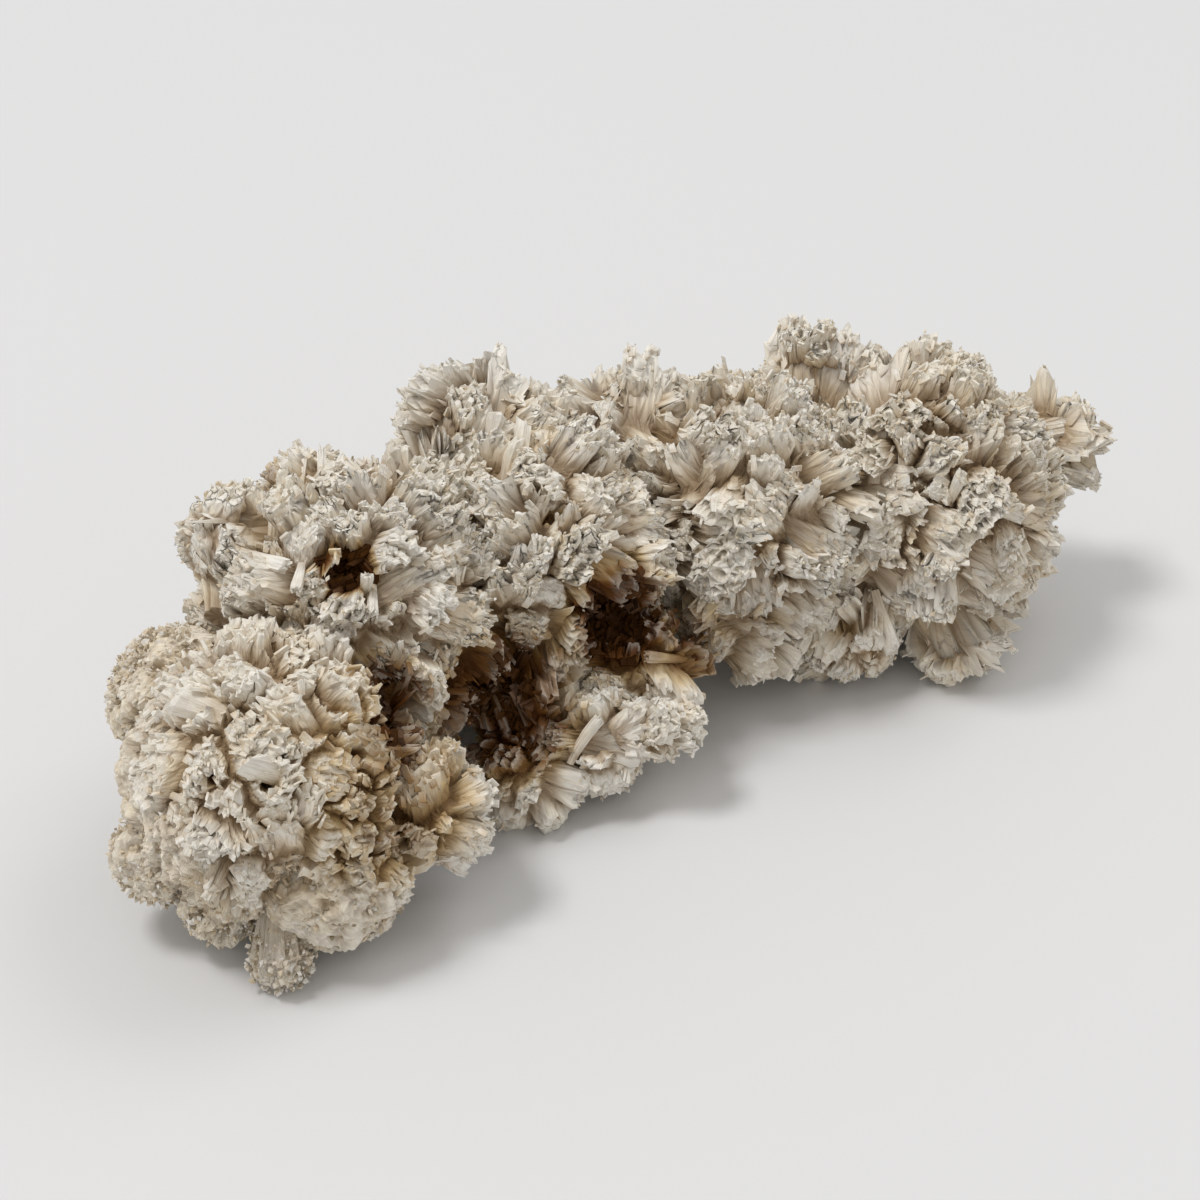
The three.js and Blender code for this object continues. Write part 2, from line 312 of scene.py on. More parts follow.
def mesh_object(name, corners, faces, attributes, flat_uv=None):
    """A mesh from whole arrays, with a number per corner for each named attribute, and flat coordinates
    (mm) for every corner of every face, in the faces' order."""
    mesh = bpy.data.meshes.new(name)
    mesh.vertices.add(len(corners))
    mesh.vertices.foreach_set("co", np.ascontiguousarray(corners, np.float32).ravel())
    sizes = [np.full(len(group), group.shape[1]) for group in faces]
    sizes = np.concatenate(sizes)
    loops = np.concatenate([group.ravel() for group in faces])
    mesh.loops.add(len(loops))
    mesh.loops.foreach_set("vertex_index", loops.astype(np.int32))
    mesh.polygons.add(len(sizes))
    starts = np.concatenate([[0], np.cumsum(sizes)[:-1]])
    mesh.polygons.foreach_set("loop_start", starts.astype(np.int32))
    for attribute, values in attributes.items():
        made = mesh.attributes.new(attribute, "FLOAT", "POINT")
        made.data.foreach_set("value", np.ascontiguousarray(values, np.float32))
    if flat_uv is not None:
        layer = mesh.uv_layers.new(name="grain")
        layer.data.foreach_set("uv", flat_uv.astype(np.float32).ravel())
    mesh.update(calc_edges=True)
    mesh.shade_flat()
    made = bpy.data.objects.new(name, mesh)
    bpy.context.collection.objects.link(made)
    return made


def linear(hex_colour):
    """An sRGB hex colour as linear RGBA: c / 12.92 below 0.04045, else ((c + 0.055) / 1.055) ^ 2.4."""
    values = [int(hex_colour[start:start + 2], 16) / 255 for start in (1, 3, 5)]
    return [c / 12.92 if c <= 0.04045 else ((c + 0.055) / 1.055) ** 2.4 for c in values] + [1.0]


def add(tree, kind, inputs, **settings):
    """Adds a node, with its settings, and its inputs as values or as links from other nodes' sockets."""
    made = tree.nodes.new(kind)
    for name, value in settings.items():
        setattr(made, name, value)
    for name, value in inputs.items():
        if isinstance(value, bpy.types.NodeSocket):
            tree.links.new(value, made.inputs[name])
        else:
            made.inputs[name].default_value = value
    return made


def albite_material(name):
    """Albite, a sodium feldspar that grew as clear to white plates: glassy where fresh, frosted at its
    tips, and stained tan to brown where iron-rich water stood in the pockets. Painted shade darkens its
    roots, furrows and holes, and a painted highlight lightens its ridges."""
    material = bpy.data.materials.new(name)
    material.use_nodes = True
    tree = material.node_tree
    tree.nodes.clear()

    def mask(attribute):
        return add(tree, "ShaderNodeAttribute", {}, attribute_name=attribute).outputs["Fac"]

    def mix(factor, first_colour, second_colour, blend="MIX"):
        made = add(tree, "ShaderNodeMix", {0: factor, 6: first_colour, 7: second_colour},
                   data_type="RGBA", blend_type=blend)
        return made.outputs[2]

    def noise(where, scale, detail, roughness=0.5, **settings):
        inputs = {"Vector": where, "Scale": scale, "Detail": detail, "Roughness": roughness}
        return add(tree, "ShaderNodeTexNoise", inputs, **settings)

    def span(value, low, high, to_low=0.0, to_high=1.0):
        made = add(tree, "ShaderNodeMapRange", {
            "Value": value, "From Min": low, "From Max": high, "To Min": to_low, "To Max": to_high,
        }, interpolation_type="SMOOTHSTEP")
        return made.outputs["Result"]

    def sums(operation, first_value, second_value):
        inputs = {0: first_value, 1: second_value}
        return add(tree, "ShaderNodeMath", inputs, operation=operation, use_clamp=True).outputs[0]

    place = add(tree, "ShaderNodeTexCoord", {}).outputs["Object"]
    along = mask("along")
    tint = mask("tint")
    stain_and_shade = mask("stain_and_shade")
    frost = mask("frost")
    # Clouds of paler and yellower feldspar, about 4 mm across.
    cloud = span(noise(place, 250.0, 4.0, 0.6).outputs["Fac"], 0.35, 0.65)
    cream = mix(cloud, linear("#F1E0C0"), linear("#F6ECDA"))
    pale = mix(cloud, linear("#FAF2E2"), linear("#FEFBF4"))
    body = mix(mask("white"), cream, pale)
    body = mix(sums("MULTIPLY", span(tint, 0.6, 1.0), 0.45), body, linear("#DACEBC"))
    # The stain ramp carries the real stain and also the painted shade of the creases, borders and holes.
    rust_and_shade = mix(span(stain_and_shade, 0.0, 0.3), body, linear("#E2CA9C"))
    rust_and_shade = mix(span(stain_and_shade, 0.25, 0.6), rust_and_shade, linear("#A47E4C"))
    rust_and_shade = mix(span(stain_and_shade, 0.55, 0.85), rust_and_shade, linear("#74481F"))
    rust_and_shade = mix(span(stain_and_shade, 0.8, 1.0), rust_and_shade, linear("#50300F"))
    # Painted shade: the roots and the furrows are darkened as if in shade, and the ridges are lightened as a
    # painted highlight.
    painted_shade_and_highlight = mix(span(along, 0.1, 0.7, 0.38, 0.0), rust_and_shade, linear("#C6AC84"), blend="MULTIPLY")
    cavity = mask("cavity")
    painted_shade_and_highlight = mix(span(cavity, 0.3, 1.0, 0.0, 0.74), painted_shade_and_highlight, linear("#9A8262"), blend="MULTIPLY")
    # Painted highlight: the corners that stand highest on their ridges are lightened.
    painted_shade_and_highlight = mix(span(cavity, 0.0, 0.3, 0.3, 0.0), painted_shade_and_highlight, linear("#FBF7EE"))

    # Frost: crystals a quarter of a millimetre across, white, with dark grey lines between them.
    uv = add(tree, "ShaderNodeTexCoord", {}).outputs["UV"]
    warp = noise(place, 1300.0, 2.0).outputs["Color"]
    long_way = add(tree, "ShaderNodeMapping", {"Vector": uv, "Scale": (2.3, 1.2, 1.0)}).outputs["Vector"]
    warped = add(tree, "ShaderNodeMix", {0: 0.35, 4: long_way, 5: warp}, data_type="VECTOR")
    cells = add(tree, "ShaderNodeTexVoronoi", {"Vector": warped.outputs[1], "Scale": 1.5},
                voronoi_dimensions="2D", feature="DISTANCE_TO_EDGE")
    gap = span(cells.outputs["Distance"], 0.02, 0.1, 1.0, 0.0)
    patchy = span(noise(place, 500.0, 2.0).outputs["Fac"], 0.4, 0.6)
    frosted = sums("MULTIPLY", sums("MULTIPLY", mask("end"), frost), sums("ADD", patchy, 0.3))
    clean = sums("SUBTRACT", 1.0, stain_and_shade)
    # The free ends are whitened, partly as their frost and partly as a painted highlight.
    whitened = mix(sums("MULTIPLY", sums("MULTIPLY", mask("end"), clean), 0.55), painted_shade_and_highlight, linear("#F3EFE6"))
    # Painted shade: the frost is greyed where it lies deep in a cavity.
    painted_crevice_shade = mix(sums("MULTIPLY", frosted, span(cavity, 0.5, 0.9, 0.0, 0.65)), whitened, linear("#5A544B"))
    grey_lined = mix(sums("MULTIPLY", frosted, gap), painted_crevice_shade, linear("#57524A"))

    # Growth lines, 0.15 mm apart, run up each plate. Real ones are finer.
    up_plate = add(tree, "ShaderNodeMapping", {"Vector": uv, "Scale": (6.0, 0.6, 1.0)}).outputs["Vector"]
    relief = noise(up_plate, 1.0, 3.0, 0.6, noise_dimensions="2D").outputs["Fac"]
    ribbed = mix(span(relief, 0.35, 0.6, 0.22, 0.0), grey_lined, linear("#A08F74"), blend="MULTIPLY")
    bumped = add(tree, "ShaderNodeBump", {"Height": relief, "Strength": 0.5, "Distance": 0.00014})
    surface = add(tree, "ShaderNodeBsdfPrincipled", {
        "Base Color": ribbed,
        "Roughness": span(tint, 0.0, 1.0, 0.42, 0.68),
        "IOR": 1.53,
        "Specular IOR Level": span(stain_and_shade, 0.2, 0.7, 0.5, 0.12),
        "Normal": bumped.outputs["Normal"],
    })
    output = add(tree, "ShaderNodeOutputMaterial", {})
    tree.links.new(surface.outputs["BSDF"], output.inputs["Surface"])
    return material


def belongs(piece, material):
    """The piece is part of the one grown specimen, and takes its finish."""
    piece.data.materials.append(material)
    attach(piece, "root")
    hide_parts("albite_cluster")


# The sprays.
# Albite of this habit grows as thin flat plates, stacked like the pages of an open book or as bundles of
# laths, and each bundle spreads as it grows away from its growth's centre.

GOLDEN_ANGLE = np.pi * (3 - np.sqrt(5))
# Slow waves (radians a metre, and phase) by which neighbouring sprays lean and spin alike.
LEAN_SWIRLS = [([310.0, 150.0, -120.0], 0.3), ([-140.0, 290.0, 200.0], 1.9), ([210.0, -180.0, 260.0], 4.1)]
SPIN_SWIRLS = [([260.0, 170.0, 90.0], 0.0), ([-110.0, 230.0, 190.0], 2.0)]
FLOOR_GAP = 0.8 * MM


def turned_about(vectors, axes, angles):
    """Vectors square to their axes, turned about them: v * cos + (axis x v) * sin."""
    return vectors * np.cos(angles)[:, None] + np.cross(axes, vectors) * np.sin(angles)[:, None]


def spray_places(pitch, wander):
    """Evenly spread places on each growth that no other growth and no pit covers, by the golden-angle
    spiral: height 1 - (2k + 1) / n and turn k * golden angle, each moved by about wander * pitch."""
    roots, outs, growths = [], [], []
    for number in range(len(GROWTHS)):
        size = radii[number] + 0.3 * reaches[number]
        count = max(5, int(round(4 * np.pi * size ** 2 / pitch ** 2)))
        k = np.arange(count)
        height = 1 - (2 * k + 1) / count
        ring = np.sqrt(1 - height ** 2)
        turn = k * GOLDEN_ANGLE + number
        out = np.stack([ring * np.cos(turn), ring * np.sin(turn), height], axis=1)
        out = unit(out + chance.normal(0, wander * pitch / size, out.shape))
        root = centres[number] + out * radii[number]
        others = np.arange(len(GROWTHS)) != number
        covered = np.linalg.norm(root[:, None] - centres[others], axis=2) < radii[others]
        pitted = np.linalg.norm(root[:, None] - pit_centres, axis=2) < pit_radii * 1.12
        bare = ~covered.any(1) & ~pitted.any(1) & (root[:, 2] > FLOOR_GAP)
        roots.append(root[bare])
        outs.append(out[bare])
        growths.append(np.full(bare.sum(), number))
    return np.concatenate(roots), np.concatenate(outs), np.concatenate(growths)


def grown_sprays(pitch, wander, lean, depth, low, high, wide, deep):
    """Sprays on every growth. Each leans by up to lean (its tangent) from straight out, spins about its
    axis by an angle that drifts slowly over the specimen, so that neighbours lie alike, starts depth
    under the heart's surface, and stands out by low to high times its growth's reach. At its free end it
    is about wide x deep."""
    root, out, growth = spray_places(pitch, wander)
    count = len(root)
    swirl = np.stack([np.sin(root @ wave + phase) for wave, phase in LEAN_SWIRLS], axis=1)
    axis = unit(out + lean * (0.45 * swirl + chance.uniform(-0.85, 0.85, out.shape)))
    helper = np.where(np.abs(axis[:, 2:]) < 0.9, [[0.0, 0.0, 1.0]], [[1.0, 0.0, 0.0]])
    across = unit(np.cross(axis, helper))
    drift = sum(np.sin(root @ wave + phase) for wave, phase in SPIN_SWIRLS)
    size = chance.uniform(low, high, count)
    # The crease share is painted shade in the valleys between growths, added to the real stain.
    stain_and_shade = staining(root) + 0.08 * crease(root) + chance.normal(0, 0.05, count)
    narrow = 0.5 + 0.14 * reaches[growth] / MM
    return {
        "root": root - axis * depth,
        "foot": root,
        "standing": (0.6 * MM + reaches[growth] * size) * shortness(root),
        "axis": axis,
        "across": turned_about(across, axis, 1.4 * drift + chance.normal(0, 0.9, count)),
        "length": depth + reaches[growth] * size * (1 - 0.5 * sugariness(root)) * shortness(root),
        "width": wide * narrow * chance.uniform(0.65, 1.35, count),
        "depth": deep * narrow * chance.uniform(0.65, 1.35, count),
        "taper": chance.uniform(0.5, 0.85, count),
        "white": np.clip(whitenesses[growth] + chance.normal(0, 0.2, count), 0, 1),
        "frost": (np.clip(frostings[growth] + chance.normal(0, 0.3, count), 0, 1)
                  * (1 - smooth_step(0.3, 0.7, stain_and_shade))),
        "stain_and_shade": np.clip(stain_and_shade, 0, 1),
        "habit": np.where(sugariness(root) > 0.5, "sugar", habits[growth]),
    }


def plate_points(plates, u, v):
    """The middle surface of each plate, at u from 0 at its root to 1 at its free edge and v from -1 to 1
    across: root + axis * length * u + across * v * w(u) / 2 + face * bend * u^2, where the width w runs
    from root_width to edge_width as u^0.8."""
    face = np.cross(plates["across"], plates["axis"])
    width = plates["root_width"] + (plates["edge_width"] - plates["root_width"]) * u ** 0.8
    lift = plates["bend"] * u ** 2
    return (
        plates["root"]
        + plates["axis"] * (plates["length"] * u)[:, None]
        + plates["across"] * (v * width / 2)[:, None]
        + face * lift[:, None]
    )


def plates_mesh(name, plates, stations, columns, ragged):
    """Every plate as a closed slab on a grid of stations along it and columns across it. Its thickness
    runs evenly from its root to its free edge. That edge is notched, by up to the ragged share of its
    length, and slants from one face to the other."""
    count = len(plates["root"])
    face = np.cross(plates["across"], plates["axis"])
    v_steps = np.linspace(-1, 1, columns)
    notches = chance.uniform(-1, 0.35, (count, columns)) * ragged
    shape = (count, len(stations), columns, 2)
    corners = np.zeros(shape + (3,))
    along = np.zeros(shape)
    flat_uv = np.zeros(shape + (2,))
    for s, u in enumerate(stations):
        for c, v in enumerate(v_steps):
            reach = u * (1 + notches[:, c] * u ** 2)
            middle = plate_points(plates, reach, np.full(count, v))
            half = (plates["thickness"] + (plates["edge_thickness"] - plates["thickness"]) * u) / 2
            beyond = plates["axis"] * (plates["slant"] * half * u ** 3)[:, None]
            corners[:, s, c, 0] = middle + face * half[:, None] + beyond
            corners[:, s, c, 1] = middle - face * half[:, None] - beyond
            along[:, s, c] = u
            flat_uv[:, s, c, :, 0] = ((v * plates["edge_width"] / 2 + plates["seed"]) / MM)[:, None]
            flat_uv[:, s, c, :, 1] = (plates["length"] * u / MM)[:, None]
    corners[..., 2] = np.maximum(corners[..., 2], 0)
    number = np.arange(len(stations) * columns * 2).reshape(len(stations), columns, 2)
    near, far = number[:-1], number[1:]
    top = np.stack([near[:, :-1, 0], near[:, 1:, 0], far[:, 1:, 0], far[:, :-1, 0]], -1).reshape(-1, 4)
    bottom = np.stack([near[:, 1:, 1], near[:, :-1, 1], far[:, :-1, 1], far[:, 1:, 1]], -1).reshape(-1, 4)
    left = np.stack([near[:, 0, 0], far[:, 0, 0], far[:, 0, 1], near[:, 0, 1]], -1)
    right = np.stack([near[:, -1, 0], near[:, -1, 1], far[:, -1, 1], far[:, -1, 0]], -1)
    edge, foot = number[-1], number[0]
    tip = np.stack([edge[:-1, 0], edge[1:, 0], edge[1:, 1], edge[:-1, 1]], -1)
    root = np.stack([foot[:-1, 0], foot[:-1, 1], foot[1:, 1], foot[1:, 0]], -1)
    one = np.concatenate([top, bottom, left, right, tip, root])
    faces = (np.arange(count)[:, None, None] * number.size + one).reshape(-1, 4)
    each = len(stations) * columns * 2
    return mesh_object(name, corners.reshape(-1, 3), [faces], {
        "along": along.ravel(),
        "tint": np.repeat(plates["tint"], each),
        "white": np.repeat(plates["white"], each),
        "frost": np.repeat(plates["frost"], each),
        "stain_and_shade": np.clip(np.repeat(plates["stain_and_shade"], each) + staining(corners.reshape(-1, 3)) * 0.5, 0, 1),
        "cavity": np.full(len(along.ravel()), 0.3),
        "end": smooth_step(0.8, 1.0, along.ravel()),
    }, flat_uv.reshape(-1, 2)[faces.ravel()])


def bundle(sprays, wide, deep, ragged, filled=1.2):
    """A sheaf of wide x deep plates. Plate (p, q), each from -1 to 1, starts at across * p * width / 2 +
    face * q * depth / 2 times the spray's taper, and ends at the same without the taper, where the pair
    (p, q) is drawn in from a square to a disc. Each is that much wider and thicker than its share, so
    that neighbours grow into each other. Their ends lie on a slope, and are ragged by that share."""
    count = len(sprays["root"])
    each = wide * deep
    spray = np.repeat(np.arange(count), each)
    p = np.tile(np.repeat((np.arange(wide) + 0.5) / wide * 2 - 1, deep), count)
    q = np.tile(np.tile((np.arange(deep) + 0.5) / deep * 2 - 1, wide), count)
    total = len(spray)
    p = p + chance.normal(0, 0.35 / wide, total)
    q = q + chance.normal(0, 0.3 / deep, total)
    p, q = p * np.sqrt(1 - 0.45 * np.clip(q, -1, 1) ** 2), q * np.sqrt(1 - 0.45 * np.clip(p, -1, 1) ** 2)
    axis, across = sprays["axis"][spray], sprays["across"][spray]
    face = np.cross(across, axis)
    width, depth, taper = sprays["width"][spray], sprays["depth"][spray], sprays["taper"][spray]
    # Plates go in up to six groups, each with a length and a lean of its own.
    group = (p > 0).astype(int) + 2 * np.digitize(q, [-0.35, 0.35])
    step = chance.normal(0, 0.09, (count, 6))[spray, group]
    lean = chance.normal(0, 0.07, (count, 6, 3))[spray, group]
    slope = chance.normal(0, 0.1, (2, count))[:, spray]
    dome = 1 + step - 0.08 * (p ** 2 + q ** 2) + slope[0] * p + slope[1] * q
    offset = across * (p * width / 2)[:, None] + face * (q * depth / 2)[:, None]
    root = sprays["root"][spray] + offset * taper[:, None]
    reach = sprays["length"][spray] * dome * chance.uniform(1 - ragged, 1, total)
    tip = sprays["root"][spray] + axis * reach[:, None] + offset
    tip += (lean + chance.normal(0, 0.04, (total, 3))) * reach[:, None]
    way = tip - root
    length = np.linalg.norm(way, axis=1)
    way = unit(way)
    across = unit(across - way * (across * way).sum(1, keepdims=True))
    across = turned_about(across, way, chance.normal(0, 0.22, total))
    share = filled * chance.uniform(0.75, 1.25, total)
    return {
        "root": root,
        "axis": way,
        "across": across,
        "length": length,
        "root_width": taper * filled * width / wide,
        "edge_width": share * width / wide,
        "thickness": taper * filled * depth / deep,
        "edge_thickness": filled * chance.uniform(0.6, 1.05, total) * depth / deep,
        "slant": chance.uniform(-1.6, 1.6, total),
        "bend": length * chance.normal(0, 0.02, total),
        "seed": chance.uniform(0, 50, total) * MM,
        "tint": chance.uniform(0, 1, total),
        "white": np.clip(sprays["white"][spray] + chance.normal(0, 0.12, total), 0, 1),
        "frost": sprays["frost"][spray] * chance.uniform(0.5, 1, total),
        "stain_and_shade": sprays["stain_and_shade"][spray],
    }


def those(rows, chosen):
    """The chosen rows of every value."""
    return {name: values[chosen] for name, values in rows.items()}


def joined(*tables):
    """Rows of several tables as one."""
    return {name: np.concatenate([table[name] for table in tables]) for name in tables[0]}


def sheaf_mesh(name, sprays, around, stations, rings, relief, ragged, boxy):
    """Sheaves of plates that have grown into one ribbed wedge each. The section at u along it is the
    curve |x/a|^boxy + |y/b|^boxy = 1, with a and b half the width and depth times taper + (1 - taper) u.
    Rib k stands out or in by relief, and ends at its own length, ragged by that share. Rings of corners
    in from the rim close the broken end, their heights rough by the same share."""
    count = len(sprays["root"])
    axis, across = sprays["axis"], sprays["across"]
    face = np.cross(across, axis)
    k = np.arange(around)
    turn = (k + chance.uniform(-0.3, 0.3, (count, around))) / around * 2 * np.pi
    round_x, round_y = np.cos(turn), np.sin(turn)
    outline = (np.abs(round_x) ** boxy + np.abs(round_y) ** boxy) ** (-1 / boxy)
    out_ribs = chance.uniform(0.0, 1.0, (count, around))
    rib = np.where(k % 2 == 0, out_ribs, chance.uniform(-1.0, 0.1, (count, around)))
    depth_share = np.broadcast_to(sprays.get("relief", 1.0), count)[:, None]
    flute = relief * depth_share * rib
    stout = np.minimum(1, sprays["width"] / sprays["length"])[:, None]
    slope = chance.normal(0, 0.14, (2, count, 1)) * stout
    lumps = chance.normal(0, 0.06, (2, count, 1))
    bend = sprays["length"] * chance.normal(0, 0.06, (2, count))
    tilted_end = 1 + slope[0] * outline * round_x + slope[1] * outline * round_y
    own_end = ragged * (0.55 * rib + chance.uniform(-0.5, 0.5, (count, around)))
    half_x, half_y = sprays["width"][:, None] / 2, sprays["depth"][:, None] / 2
    rim_x, rim_y = half_x * outline * round_x, half_y * outline * round_y
    taper, length = sprays["taper"][:, None], sprays["length"][:, None]

    def place(u, x, y):
        """Root + axis * length * u + across * x + face * y, bowed sideways by bend * u^2."""
        sideways = x + bend[0][:, None] * np.square(u), y + bend[1][:, None] * np.square(u)
        return (
            sprays["root"][:, None]
            + axis[:, None] * (length * u)[..., None]
            + across[:, None] * sideways[0][..., None]
            + face[:, None] * sideways[1][..., None]
        )

    layers, along, end, cavity = [], [], [], []
    for u in stations:
        size = (taper + (1 - taper) * u) * (1 + lumps[0] * np.sin(6 * u + 9 * lumps[1] / 0.06))
        size = size * (1 - 0.1 * (u == 1))
        stray = 1 + flute * (0.35 + 0.65 * u) + chance.normal(0, 0.035, (count, around))
        reach = u * (1 + u ** 2 * (tilted_end - 1 + own_end))
        layers.append(place(reach, rim_x * size * stray, rim_y * size * stray))
        along.append(np.full((count, around), u))
        end.append(np.full((count, around), smooth_step(0.75, 1.0, u)))
        # Painted shade: the cavity mask darkens the flutes' valleys and the lower part of each sheaf, and
        # lightens the ribs as a painted highlight.
        cavity.append(np.clip((0.5 - 0.5 * rib) * depth_share + 0.25 * (1 - u), 0, 1))
    for ring in range(1, rings + 1):
        inward = 0.9 * (1 - ring / (rings + 0.6)) + chance.normal(0, 0.05, (count, around))
        rough = chance.uniform(-1, 1, (count, around))
        # The plates' broken ends stand in rows, so neighbours round a ring go up and down together.
        rough = 0.5 * rough + 0.5 * np.where((k + ring) % 2 == 0, 1, -1) * np.abs(rough)
        reach = 1 + (tilted_end - 1) * inward + ragged * 0.6 * rough + 0.04
        layers.append(place(reach, rim_x * inward, rim_y * inward))
        along.append(np.ones((count, around)))
        end.append(np.ones((count, around)))
        # Painted shade: the cap's lower broken ends are darkened through the cavity mask, and its higher
        # ones lightened as a painted highlight.
        cavity.append(np.clip(0.5 - 0.6 * rough, 0, 1))
    grid = np.stack(layers, axis=1)
    middle = place(np.ones((count, 1)), np.zeros((count, 1)), np.zeros((count, 1)))
    foot = place(np.zeros((count, 1)), np.zeros((count, 1)), np.zeros((count, 1)))
    corners = np.concatenate([grid.reshape(count, -1, 3), middle, foot], axis=1)
    corners[..., 2] = np.maximum(corners[..., 2], 0)
    rows = len(layers)
    middle_corner, foot_corner = rows * around, rows * around + 1

    def flattened(values, at_middle, at_foot):
        values = np.stack(values, axis=1).reshape(count, -1)
        ends = np.broadcast_to([[at_middle, at_foot]], (count, 2))
        return np.concatenate([values, ends], axis=1).ravel()

    ring_start = np.arange(rows - 1)[:, None] * around
    after = (k + 1) % around
    next_start = ring_start + around
    body = np.stack([ring_start + k, ring_start + after, next_start + after, next_start + k], -1)
    body = body.reshape(-1, 4)
    last = (rows - 1) * around
    cap = np.stack([last + k, last + after, np.full(around, middle_corner)], -1)
    base = np.stack([after, k, np.full(around, foot_corner)], -1)
    own = (rows * around + 2) * np.arange(count)[:, None, None]
    faces = [(own + body).reshape(-1, 4), (own + np.concatenate([cap, base])).reshape(-1, 3)]
    # The grain runs up the sides: across it the distance round the sheaf, along it the distance up.
    column = np.broadcast_to(np.stack([k, k + 1, k + 1, k], -1), (rows - 1, around, 4)).reshape(-1, 4)
    row = np.broadcast_to(np.arange(rows - 1)[:, None, None] + np.array([0, 0, 1, 1]), (rows - 1, around, 4))
    row = row.reshape(-1, 4)
    pitch = 3 * (half_x + half_y) / around / MM
    seed = chance.uniform(0, 50, (count, 1))
    heights = np.concatenate([stations, 1 + 0.3 * np.arange(1, rings + 1) / rings])
    side_uv = np.stack([column.ravel() * pitch + seed, heights[row.ravel()] * length / MM], -1)
    cap_column = np.concatenate([np.stack([k, k + 1, k + 0.5], -1)] * 2).ravel()
    cap_uv = np.stack([cap_column * pitch + seed, np.tile([1.2, 1.2, 1.4], 2 * around) * length / MM], -1)
    each = rows * around + 2
    stain_and_shade = np.repeat(sprays["stain_and_shade"], each) + 0.5 * staining(corners.reshape(-1, 3))
    white = np.repeat(sprays["white"], each) + chance.normal(0, 0.08, count * each)
    tint = np.repeat(chance.uniform(0, 1, (count, 1, around)), rows, axis=1).reshape(count, -1)
    tint = np.concatenate([tint, np.full((count, 2), 0.3)], axis=1).ravel()
    piece = mesh_object(name, corners.reshape(-1, 3), faces, {
        "along": flattened(along, 1.0, 0.0),
        "tint": tint,
        "white": np.clip(white, 0, 1),
        "frost": np.repeat(sprays["frost"], each),
        "stain_and_shade": np.clip(stain_and_shade, 0, 1),
        "cavity": flattened(cavity, 0.5, 1.0),
        "end": flattened(end, 1.0, 0.0),
    }, np.concatenate([side_uv.reshape(-1, 2), cap_uv.reshape(-1, 2)]))
    belongs(piece, blade_material)


blade_material = albite_material("bladed_albite")
large = grown_sprays(3.5 * MM, 0.45, 0.85, 3.2 * MM, 0.2, 1.05, 4.0 * MM, 3.2 * MM)
small = grown_sprays(2.7 * MM, 0.45, 1.1, 2.0 * MM, 0.1, 0.8, 2.2 * MM, 1.8 * MM)

